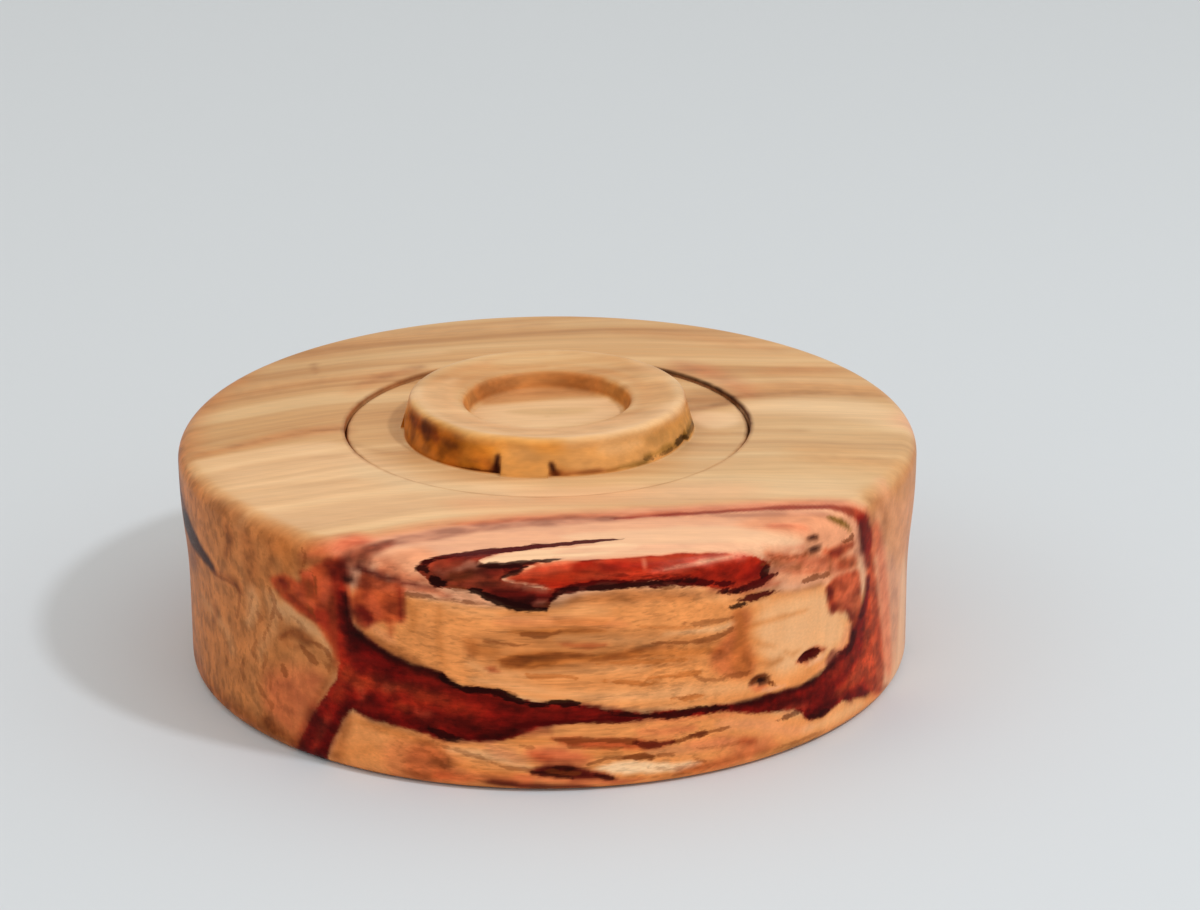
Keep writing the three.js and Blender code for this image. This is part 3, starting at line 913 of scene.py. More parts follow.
BAND_MARKS = [
    # Reds that spread out of the figure into the deck and the left wall
    ("coral", 0.8, 4.0, [
        (304, 556), (316, 544), (340, 536), (362, 534), (370, 544), (352, 552),
        (340, 560), (320, 562),
    ]),
    ("coral", 0.3, 3.0, [
        (345, 545, 10), (400, 531, 9), (470, 521, 9), (560, 514, 8), (650, 510, 7),
        (750, 504, 6), (830, 501, 6), (862, 508, 6),
    ]),
    ("umber", 0.5, 1.8, [(298, 564, 6), (312, 562, 9), (328, 560, 10), (338, 568, 6)]),
    # Left lobe
    ("rust", 0.95, 1.4, [
        (271, 578), (284, 575), (299, 581), (301, 572), (312, 567), (326, 560),
        (340, 557), (348, 575), (350, 600), (348, 645), (338, 662), (332, 650),
        (323, 634), (313, 621), (299, 612), (286, 601), (276, 590),
    ]),
    ("crimson", 0.65, 1.8, [
        (330, 570), (342, 566), (348, 600), (348, 645), (340, 662), (331, 640),
        (324, 628), (310, 616), (316, 608), (330, 606),
    ]),
    ("umber", 0.6, 1.2, [(277, 581, 4), (284, 584, 11), (287, 592, 6)]),
    ("maroon", 0.55, 1.2, [(279, 579, 4), (284, 584, 8), (286, 591, 4)]),
    ("umber", 0.5, 1.4, [(282, 592, 7), (296, 602, 9), (310, 613, 8)]),
    ("crimson", 0.35, 1.2, [(286, 594, 5), (298, 604, 7), (310, 614, 6)]),
    ("umber", 0.6, 0.9, [(300, 572, 2), (309, 571, 2), (315, 578, 3), (316, 592, 2)]),
    ("umber", 0.5, 0.9, [(306, 604, 2), (312, 612, 5), (315, 619, 2)]),
    ("umber", 0.5, 1.2, [(306, 580, 4), (311, 590, 7), (307, 600, 5)]),
    ("coral", 0.75, 1.2, [(303, 575, 4), (308, 573, 6), (313, 578, 4)]),
    ("coral", 0.5, 1.2, [(302, 599, 4), (309, 603, 6), (314, 606, 4)]),
    ("coral", 0.6, 1.5, [(324, 578, 10), (326, 590, 13), (324, 602, 7)]),
    ("maroon", 0.4, 1.4, [(326, 560, 6), (332, 570, 8), (338, 580, 5)]),
    ("coral", 0.35, 1.4, [(296, 584, 5), (299, 592, 8), (302, 600, 4)]),
    # Patch to the right of the node
    ("rust", 0.92, 1.3, [
        (362, 571), (376, 576), (391, 581), (403, 588), (404, 606), (403, 620),
        (392, 622), (378, 622), (366, 628), (354, 618), (352, 600),
    ]),
    ("rust", 0.45, 2.4, [(346, 588, 6), (351, 600, 10), (354, 612, 8)]),
    ("coral", 0.5, 1.6, [(372, 594, 8), (374, 606, 12), (380, 616, 8)]),
    ("maroon", 0.1, 1.6, [(384, 600, 5), (388, 607, 10), (394, 612, 5)]),
    ("maroon", 0.25, 1.6, [(364, 580, 5), (367, 590, 6), (365, 600, 4)]),
    ("peach", 0.45, 2.0, [(370, 626, 5), (382, 634, 9), (394, 642, 4)]),
    ("rust", 0.5, 1.2, [(388, 620, 5), (391, 628, 7), (390, 636, 3)]),
    ("crimson", 0.55, 1.6, [(401, 588, 5), (402, 604, 6), (402, 620, 5)]),
    ("maroon", 0.85, 1.4, [(356, 608, 7), (364, 614, 12), (371, 622, 7)]),
    ("brick", 0.6, 1.6, [(350, 604, 5), (356, 616, 10), (364, 628, 8)]),
    # Ring line across the deck
    ("mauve", 0.8, 1.8, [
        (364, 551, 9), (382, 546, 10), (400, 541, 10), (430, 536, 10), (470, 529, 9),
        (510, 524, 9), (560, 521, 8), (620, 518, 6), (680, 515, 3),
    ]),
    ("rust", 0.35, 1.6, [(460, 524, 3), (540, 518, 5), (620, 515, 4), (680, 513, 3)]),
    ("brick", 0.7, 1.8, [(342, 562, 10), (356, 555, 12), (372, 549, 10), (392, 543, 5)]),
    ("crimson", 0.75, 1.0, [
        (620, 518, 1.5), (680, 514, 2.5), (730, 511, 3), (780, 508, 4), (820, 507, 4),
        (840, 509, 6), (858, 514, 10), (866, 522, 10),
    ]),
    ("coral", 0.35, 1.6, [(640, 515, 4), (740, 508, 5), (820, 504, 5), (862, 510, 5)]),
    ("mauve", 0.5, 1.8, [(700, 517, 3), (760, 514, 5), (810, 513, 5), (830, 515, 3)]),
    # Band down the right side
    ("rust", 0.5, 2.5, [(850, 512, 8), (866, 518, 14), (873, 534, 14), (873, 554, 8)]),
    ("crimson", 0.95, 1.2, [
        (860, 516, 9), (866, 530, 12), (867, 542, 11), (867, 554, 7), (868, 566, 5),
    ]),
    ("rust", 0.7, 1.6, [(870, 556, 6), (872, 580, 7), (874, 605, 8), (876, 635, 8)]),
    ("mauve", 0.5, 1.6, [(861, 552, 6), (864, 566, 7), (864, 580, 4)]),
    # Light and dark inside the band
    ("rust", 0.35, 3.0, [(346, 664, 10), (366, 682, 20), (396, 694, 22), (430, 702, 14)]),
    ("rust", 0.5, 2.2, [(336, 660, 8), (344, 672, 14), (340, 690, 14), (334, 700, 8)]),
    ("rust", 0.5, 1.8, [(352, 690, 8), (362, 682, 11), (374, 684, 8)]),
    ("coral", 0.4, 1.4, [(356, 684, 5), (362, 692, 8), (362, 700, 4)]),
    ("rust", 0.5, 2.2, [(384, 686, 9), (400, 690, 14), (424, 696, 14), (446, 700, 10)]),
    ("coral", 0.35, 1.4, [(384, 686, 5), (390, 688, 7), (398, 688, 4)]),
    ("rust", 0.55, 1.4, [(396, 702, 5), (402, 706, 8), (408, 710, 4)]),
    ("coral", 0.4, 1.4, [(414, 710, 5), (422, 714, 8), (430, 714, 5)]),
    ("rust", 0.3, 2.2, [(450, 702, 10), (468, 708, 14), (486, 708, 8)]),
    ("maroon", 0.6, 1.8, [(368, 696, 8), (376, 700, 15), (384, 706, 8)]),
    ("maroon", 0.6, 1.8, [(382, 668, 7), (392, 674, 13), (404, 678, 8)]),
    ("maroon", 0.6, 1.6, [(354, 662, 8), (360, 668, 12), (362, 676, 6)]),
    ("maroon", 0.5, 1.4, [(344, 682, 5), (350, 687, 8), (355, 692, 4)]),
    ("maroon", 0.5, 2.0, [(370, 716, 5), (400, 720, 7), (430, 726, 8)]),
    ("maroon", 0.45, 2.4, [(450, 728, 8), (480, 732, 12), (510, 722, 12)]),
    ("maroon", 0.55, 2.0, [(530, 722, 10), (570, 718, 9), (620, 717, 9), (660, 715, 7)]),
    ("maroon", 0.45, 2.0, [(735, 708, 6), (765, 704, 12), (800, 700, 10), (826, 694, 8)]),
    ("rust", 0.8, 2.4, [
        (838, 694, 6), (852, 682, 14), (864, 670, 22), (872, 650, 20), (873, 620, 10),
    ]),
    ("coral", 0.3, 2.0, [(852, 682, 6), (862, 668, 12), (870, 656, 8)]),
    ("rust", 0.35, 2.0, [(830, 676, 8), (842, 668, 10), (856, 650, 8)]),
    ("rust", 0.45, 1.8, [(344, 672, 10), (356, 680, 16), (366, 684, 8)]),
    ("maroon", 0.5, 2.0, [(388, 700, 8), (400, 696, 12), (412, 698, 8)]),
    ("maroon", 0.3, 2.5, [(470, 700, 10), (500, 712, 14), (530, 714, 10)]),
    ("rust", 0.35, 1.6, [(440, 706, 6), (452, 710, 9), (462, 708, 5)]),
    ("coral", 0.4, 1.6, [(784, 711, 4), (796, 708, 7), (806, 706, 4)]),
    ("maroon", 0.6, 1.4, [(845, 692, 5), (849, 697, 8), (851, 702, 3)]),
    ("maroon", 0.5, 1.4, [(858, 690, 4), (864, 693, 8), (870, 693, 4)]),
    ("maroon", 0.4, 1.4, [(874, 690, 4), (881, 690, 7), (886, 686, 3)]),
    # Foot of the band at the left
    ("maroon", 0.6, 2.0, [(318, 708, 10), (310, 724, 12), (304, 744, 12), (300, 760, 8)]),
    ("brick", 0.5, 1.6, [(328, 716, 8), (322, 734, 10), (316, 752, 8)]),
    ("maroon", 0.9, 1.4, [
        (354, 702, 6), (346, 708, 9), (338, 720, 11), (330, 736, 12), (322, 752, 12),
        (314, 770, 10),
    ]),
    ("umber", 0.6, 2.2, [(350, 716, 7), (343, 734, 10), (336, 758, 10)]),
    # Brown fade outside the band at the left
    ("umber", 0.45, 1.8, [(332, 600, 4), (333, 640, 6), (332, 672, 7), (322, 692, 5)]),
    ("rust", 0.4, 2.0, [(318, 696, 5), (308, 714, 8), (300, 734, 8), (292, 750, 6)]),
    # Dark upper edge of the band
    ("umber", 0.4, 1.6, [(366, 633, 5), (384, 645, 8), (402, 654, 8), (420, 663, 4)]),
    ("maroon", 0.9, 1.4, [
        (341, 592, 6), (344, 604, 11), (345, 618, 12), (349, 630, 14), (360, 640, 14),
        (374, 650, 12), (388, 658, 9), (404, 666, 8),
    ]),
    ("maroon", 0.6, 2.4, [(346, 640, 14), (362, 650, 14), (380, 662, 10), (400, 670, 5)]),
    ("black", 0.65, 1.2, [(345, 594, 4), (347, 612, 6), (350, 626, 8), (362, 637, 7)]),
    ("black", 0.7, 1.2, [
        (358, 635, 4), (376, 648, 6), (394, 659, 7), (412, 666, 6), (428, 671, 7),
        (438, 675, 9), (446, 681, 7), (456, 686, 4),
    ]),
    ("black", 0.95, 0.8, [
        (440, 675, 5), (450, 683, 6), (462, 688, 6), (480, 690, 6), (500, 693, 8),
        (510, 698, 8), (522, 702, 5), (534, 705, 4), (548, 705, 4),
    ]),
    ("umber", 0.6, 1.0, [(502, 690, 3), (512, 694, 5), (520, 699, 3)]),
    ("black", 0.95, 0.8, [(544, 705, 3), (552, 703, 5), (566, 703, 6), (580, 704, 4)]),
    ("maroon", 0.7, 1.2, [(580, 706, 4), (600, 709, 5), (625, 713, 6)]),
    ("black", 0.85, 1.0, [
        (604, 711, 2), (630, 715, 5), (655, 716, 7), (678, 714, 6), (700, 710, 6),
        (716, 708, 5), (728, 707, 2),
    ]),
    ("umber", 0.45, 1.2, [(600, 708, 3), (630, 711, 4), (660, 711, 3)]),
    ("maroon", 0.85, 1.1, [
        (712, 708, 3), (730, 707, 5), (750, 705, 8), (768, 699, 8), (784, 694, 6),
        (800, 689, 5), (812, 683, 5),
    ]),
    ("black", 0.6, 1.1, [
        (736, 704, 4), (752, 702, 6), (770, 696, 5), (790, 690, 4), (804, 686, 4),
        (816, 678, 6), (826, 670, 5), (832, 662, 6),
    ]),
    ("maroon", 0.9, 1.2, [
        (828, 664, 6), (834, 656, 11), (844, 653, 9), (851, 645, 7), (853, 632, 7),
        (857, 620, 8), (863, 608, 7), (866, 596, 5), (868, 578, 4),
    ]),
    ("black", 0.6, 0.9, [(836, 654, 3), (846, 652, 5), (852, 644, 5), (853, 632, 3)]),
    ("maroon", 0.6, 1.6, [(861, 522, 5), (862, 534, 8), (863, 546, 6), (862, 553, 4)]),
    ("black", 0.4, 1.4, [(860, 526, 3), (861, 538, 4), (862, 548, 3)]),
    # Dark lower edge of the band
    ("umber", 0.45, 1.6, [(366, 718, 4), (390, 726, 6), (420, 734, 5)]),
    ("maroon", 0.75, 1.3, [
        (356, 710, 4), (372, 716, 6), (396, 721, 5), (424, 729, 6), (440, 735, 8),
        (460, 738, 7), (490, 738, 8), (512, 732, 9), (530, 726, 8), (550, 724, 5),
    ]),
    ("black", 0.85, 1.0, [(428, 728, 4), (438, 733, 7), (448, 737, 7), (462, 739, 4)]),
    ("black", 0.5, 1.6, [(480, 738, 5), (500, 735, 8), (518, 728, 7), (530, 724, 4)]),
    ("maroon", 0.9, 0.9, [(520, 726, 4), (560, 722, 5), (600, 721, 5), (640, 719, 3)]),
    ("brick", 0.5, 1.6, [(522, 732, 6), (538, 731, 8), (550, 732, 4)]),
    ("coral", 0.4, 1.4, [(640, 722, 2), (690, 719, 3), (730, 714, 3)]),
    ("maroon", 0.95, 1.1, [(806, 716, 6), (818, 712, 12), (828, 706, 10), (836, 700, 5)]),
    ("black", 0.6, 1.0, [(808, 717, 4), (818, 716, 6), (828, 710, 4)]),
    ("maroon", 0.7, 0.8, [(777, 721, 1), (785, 718, 4), (793, 714, 5), (802, 710, 3)]),
    # Dark node at the left end of the oval
    ("maroon", 0.65, 2.0, [(342, 560, 8), (345, 570, 13), (347, 580, 11)]),
    ("rust", 0.4, 2.4, [(360, 557, 7), (378, 560, 9), (398, 568, 5)]),
    ("brick", 0.6, 1.6, [(350, 562, 10), (360, 562, 12), (370, 564, 6)]),
    ("black", 0.85, 1.3, [(343, 576, 5), (348, 580, 9), (353, 579, 5)]),
    ("mauve", 0.45, 1.8, [(355, 570, 5), (356, 580, 7), (354, 590, 4)]),
    ("maroon", 0.75, 1.2, [
        (356, 566, 6), (370, 572, 7), (386, 577, 6), (402, 582, 5), (420, 586, 4),
        (436, 589, 2),
    ]),
    ("rust", 0.5, 1.6, [(380, 570, 5), (400, 576, 7), (420, 580, 6), (440, 584, 3)]),
    ("rust", 0.6, 1.4, [(396, 586, 3), (412, 590, 6), (430, 592, 6), (450, 596, 4)]),
    ("umber", 0.7, 1.0, [(404, 594, 3), (424, 596, 3), (450, 600, 3), (480, 604, 3)]),
    ("umber", 0.4, 1.0, [(476, 603, 3), (500, 607, 3), (520, 611, 2)]),
    ("peach", 0.6, 1.6, [(450, 592, 4), (470, 597, 6), (490, 601, 4)]),
    # Patches at the right end of the oval
    ("rust", 0.4, 2.5, [(768, 560, 10), (790, 564, 14), (815, 564, 16), (846, 562, 12)]),
    ("coral", 0.3, 2.0, [(800, 562, 8), (820, 564, 14), (846, 566, 14)]),
    ("rust", 0.6, 1.6, [(820, 560, 4), (830, 557, 8), (840, 556, 5)]),
    ("peach", 0.6, 2.4, [(758, 576, 6), (780, 578, 14), (806, 576, 12), (822, 572, 5)]),
    ("umber", 0.35, 1.6, [(772, 562, 6), (786, 566, 8), (802, 566, 5)]),
    ("rust", 0.7, 1.8, [(766, 552, 5), (778, 556, 8), (792, 557, 6), (806, 556, 4)]),
    ("coral", 0.5, 2.2, [(770, 526, 3), (788, 526, 5), (802, 528, 6), (808, 530, 3)]),
    ("rust", 0.85, 1.3, [(824, 552, 5), (834, 552, 9), (844, 548, 9), (853, 543, 5)]),
    ("maroon", 0.5, 1.2, [(830, 554, 4), (836, 553, 7), (841, 550, 4)]),
    ("rust", 0.7, 1.6, [(838, 566, 7), (848, 564, 12), (856, 558, 7)]),
    ("rust", 0.95, 1.2, [
        (828, 584), (838, 577), (850, 572), (859, 570), (861, 582), (862, 596),
        (860, 612), (855, 626), (850, 622), (846, 613), (838, 612), (830, 611),
        (827, 598),
    ]),
    ("coral", 0.5, 1.4, [(836, 580, 6), (843, 578, 8), (850, 574, 5)]),
    ("coral", 0.4, 1.6, [(838, 592, 7), (844, 600, 11), (852, 606, 7)]),
    ("maroon", 0.65, 1.1, [(829, 586, 4), (830, 593, 8), (829, 600, 4)]),
    ("crimson", 0.5, 1.2, [(832, 602, 5), (834, 608, 8), (832, 613, 3)]),
    ("crimson", 0.5, 1.2, [(846, 606, 4), (849, 612, 6), (852, 620, 4)]),
    ("cream", 0.4, 1.4, [
        (858, 558, 3), (861, 567, 6), (863, 578, 6), (863, 588, 4), (861, 596, 2),
    ]),
    ("peach", 0.6, 1.6, [(848, 626, 5), (844, 642, 6), (832, 656, 5), (820, 668, 4)]),
    ("mauve", 0.5, 1.2, [(855, 528, 4), (857, 540, 5), (856, 552, 4)]),
    ("coral", 0.5, 1.2, [(764, 546, 2), (784, 548, 4), (802, 547, 2)]),
    ("umber", 0.4, 0.9, [(768, 556, 2), (782, 558, 4), (800, 556, 3), (812, 554, 1)]),
    ("umber", 0.3, 0.9, [(776, 566, 2), (792, 568, 4), (812, 566, 2)]),
    ("rust", 0.45, 1.2, [(776, 570, 3), (800, 571, 5), (824, 570, 3)]),
    ("umber", 0.35, 1.4, [(838, 560, 4), (848, 562, 7), (856, 566, 4)]),
    ("olive", 0.9, 0.8, [
        (828, 517, 2), (834, 519, 5), (841, 522, 6), (847, 526, 4), (851, 531, 3),
    ]),
    ("umber", 0.8, 0.8, [(853, 534, 3), (850, 540, 5), (843, 542, 3)]),
    ("umber", 0.75, 1.0, [(802, 582, 3), (814, 578, 5), (828, 574, 4)]),
    ("umber", 0.35, 1.2, [(829, 558, 3), (830, 566, 4), (829, 576, 3)]),
]

# Edges of the flame's coat
SPEAR = [
    (416, 568), (424, 561), (440, 557), (470, 553), (500, 549), (540, 545),
    (552, 546), (530, 549), (504, 553), (490, 556), (479, 562), (500, 564),
    (530, 562), (548, 560), (528, 567), (512, 574), (502, 579), (520, 584),
    (545, 588), (562, 588), (552, 599), (548, 609), (530, 609), (508, 605),
    (490, 598), (472, 590), (450, 588), (434, 586), (426, 577),
]
TONGUE = [
    (508, 578), (518, 573), (530, 568), (545, 564), (560, 562), (580, 561),
    (610, 559), (640, 557), (680, 554), (715, 553), (735, 555), (752, 557),
    (764, 561), (769, 567), (762, 571), (768, 577), (752, 586), (728, 589),
    (705, 587), (680, 582), (640, 582), (600, 583), (575, 587), (556, 589),
    (530, 583),
]

FLAME_MARKS = [
    # Pale wood round the flame
    ("cream", 0.5, 2.0, [
        (560, 536), (620, 530), (700, 526), (760, 530), (802, 540), (780, 550),
        (700, 552), (640, 554), (580, 558), (540, 562), (580, 552), (600, 546),
    ]),
    ("cream", 0.8, 0.8, [
        (480, 563), (492, 557), (504, 554), (530, 550), (556, 548), (580, 546),
        (620, 543), (640, 547), (610, 553), (578, 556), (560, 557), (540, 559),
        (520, 561), (500, 563),
    ]),
    ("salmon", 0.5, 1.2, [(560, 552, 4), (620, 549, 6), (700, 546, 6), (760, 546, 4)]),
    # Spear
    ("maroon", 0.45, 1.2, [(448, 558, 5), (470, 557, 6), (492, 554, 3)]),
    ("mauve", 0.7, 1.0, [(464, 566, 6), (471, 564, 8), (478, 566, 4)]),
    ("mauve", 0.7, 0.9, [(455, 570, 3), (459, 569, 5), (464, 569, 3)]),
    ("umber", 0.4, 1.4, [(448, 576, 8), (460, 578, 10), (472, 572, 6)]),
    ("mauve", 0.35, 1.4, [(436, 570, 5), (444, 574, 7), (452, 568, 4)]),
    ("coral", 0.3, 1.2, [(466, 582, 4), (474, 580, 8), (484, 580, 5)]),
    ("maroon", 0.4, 1.4, [(484, 572, 5), (494, 572, 8), (504, 570, 5)]),
    ("maroon", 0.75, 1.4, [
        (484, 588), (500, 588), (530, 591), (552, 592), (552, 600), (530, 606),
        (508, 603), (492, 597),
    ]),
    ("mauve", 0.65, 1.0, [(506, 579, 3), (516, 582, 6), (530, 586, 8), (550, 588, 5)]),
    ("coral", 0.3, 0.9, [(506, 578, 2), (514, 580, 4), (522, 582, 3)]),
    ("maroon", 0.98, 0.7, [
        (422, 564, 5), (436, 559, 4), (450, 556, 4), (465, 554, 4), (480, 552, 5),
        (495, 551, 6), (510, 550, 5), (525, 548, 5), (540, 546, 5), (556, 545, 4),
        (575, 543, 4), (600, 541, 3), (622, 539, 1),
    ]),
    ("black", 0.95, 0.7, [(415, 567, 3), (420, 567, 8), (425, 569, 7), (428, 573, 3)]),
    ("black", 0.6, 0.8, [(420, 564, 4), (430, 561, 4), (444, 558, 2)]),
    ("black", 0.98, 0.8, [
        (429, 577), (434, 575), (441, 578), (448, 580), (448, 584), (442, 587),
        (435, 587), (430, 582),
    ]),
    ("umber", 0.6, 0.8, [(446, 586, 4), (458, 589, 4), (470, 591, 4)]),
    ("black", 0.97, 0.7, [
        (468, 589, 3), (478, 591, 6), (486, 595, 8), (496, 600, 9), (508, 604, 9),
        (520, 607, 8), (534, 609, 6), (547, 609, 3),
    ]),
    ("black", 0.7, 1.2, [(506, 601, 6), (520, 602, 9), (534, 599, 6)]),
    ("mauve", 0.7, 0.7, [(534, 604, 3), (540, 603, 5), (547, 601, 3)]),
    ("black", 0.9, 0.7, [
        (478, 566, 2), (486, 565, 4), (497, 565, 5), (508, 565, 6), (518, 564, 7),
        (526, 563, 5), (538, 561, 3), (550, 560, 3), (564, 558, 1),
    ]),
    ("maroon", 0.8, 0.9, [(504, 568, 6), (514, 568, 9), (522, 566, 6)]),
    ("black", 0.9, 0.7, [
        (528, 566, 3), (520, 570, 5), (511, 574, 5), (504, 577, 4), (499, 580, 2),
    ]),
    # Glossy tongue
    ("scarlet", 1.0, 0.8, TONGUE),
    ("coral", 0.75, 1.4, [(510, 578, 3), (528, 574, 9), (548, 570, 11), (570, 566, 8)]),
    ("coral", 0.5, 1.0, [(600, 561, 3), (640, 560, 5), (680, 558, 6), (720, 557, 5)]),
    ("coral", 0.4, 1.2, [(576, 580, 3), (600, 575, 5), (650, 573, 5), (690, 571, 3)]),
    ("peach", 0.6, 0.9, [(508, 577, 2), (524, 570, 4), (545, 564, 4), (576, 561, 3)]),
    ("rust", 0.5, 1.6, [(520, 580, 3), (550, 578, 8), (580, 574, 10), (600, 570, 6)]),
    ("crimson", 0.55, 2.0, [(700, 576, 4), (720, 573, 12), (744, 570, 20), (760, 570, 12)]),
    ("crimson", 0.35, 1.2, [(600, 568, 5), (612, 566, 8), (628, 562, 5)]),
    ("maroon", 0.5, 1.2, [(742, 580, 5), (756, 572, 9), (764, 565, 6)]),
    # Painted highlight along the top of the tongue, in pink with a salmon core
    ("pink", 0.8, 1.6, [
        (652, 571, 3), (680, 566, 7), (706, 562, 9), (728, 558, 8), (748, 556, 4),
    ]),
    ("salmon", 0.9, 0.8, [
        (668, 569, 1), (686, 566, 3), (704, 562, 4), (722, 558, 4), (740, 555, 2),
    ]),
    ("salmon", 0.6, 0.8, [(644, 558, 1), (645, 565, 2), (647, 571, 1)]),
    ("maroon", 0.6, 0.8, [(610, 576, 2), (640, 576, 3), (680, 576, 3), (696, 579, 2)]),
    ("coral", 0.4, 0.9, [(600, 579, 2), (640, 579, 3), (690, 580, 2)]),
    # Dark wood under the tongue
    ("maroon", 0.97, 0.8, [
        (548, 603, 2), (553, 597, 6), (562, 591, 9), (578, 588, 9), (600, 585, 10),
        (630, 584, 9), (660, 583, 8), (690, 582, 8), (712, 583, 6), (734, 584, 4),
    ]),
    ("black", 0.8, 0.8, [
        (550, 601, 4), (556, 595, 5), (568, 589, 6), (584, 587, 5), (604, 587, 7),
        (620, 585, 6), (640, 584, 5), (660, 583, 5), (684, 581, 4), (696, 580, 2),
    ]),
    ("umber", 0.6, 0.9, [(620, 586, 3), (650, 587, 4), (680, 586, 4), (710, 585, 2)]),
    ("umber", 0.5, 1.8, [
        (546, 606, 6), (580, 600, 10), (620, 597, 11), (670, 595, 10), (712, 594, 5),
    ]),
    ("brick", 0.7, 1.8, [
        (712, 589, 4), (728, 590, 8), (746, 588, 10), (762, 583, 12), (772, 574, 10),
    ]),
    ("umber", 0.5, 1.8, [(732, 600, 3), (748, 598, 8), (764, 593, 8), (778, 586, 4)]),
    ("crimson", 0.7, 1.4, [(752, 570, 8), (760, 574, 12), (764, 582, 8)]),
    ("maroon", 0.95, 0.8, [
        (716, 592, 2), (726, 591, 7), (736, 591, 7), (748, 587, 7), (760, 583, 8),
        (768, 578, 6), (778, 573, 2),
    ]),
    ("black", 0.8, 0.8, [(762, 577, 6), (765, 571, 8), (768, 566, 3)]),
    ("black", 0.75, 0.8, [(722, 592, 2), (734, 591, 4), (746, 588, 3)]),
    ("maroon", 0.95, 0.7, [
        (736, 600, 2), (746, 599, 5), (756, 596, 7), (766, 593, 5), (775, 591, 2),
    ]),
    ("umber", 0.6, 0.8, [(766, 594, 3), (776, 592, 3), (784, 590, 1)]),
    ("black", 0.92, 0.7, [(729, 608, 2), (737, 606, 4), (746, 603, 3)]),
    ("umber", 0.6, 0.9, [(760, 566, 2), (768, 563, 3), (776, 560, 2)]),
    ("mauve", 0.5, 1.0, [(770, 572, 3), (780, 568, 5), (792, 564, 3)]),
    ("coral", 0.4, 1.0, [(762, 586, 3), (772, 585, 4), (780, 582, 2)]),
]

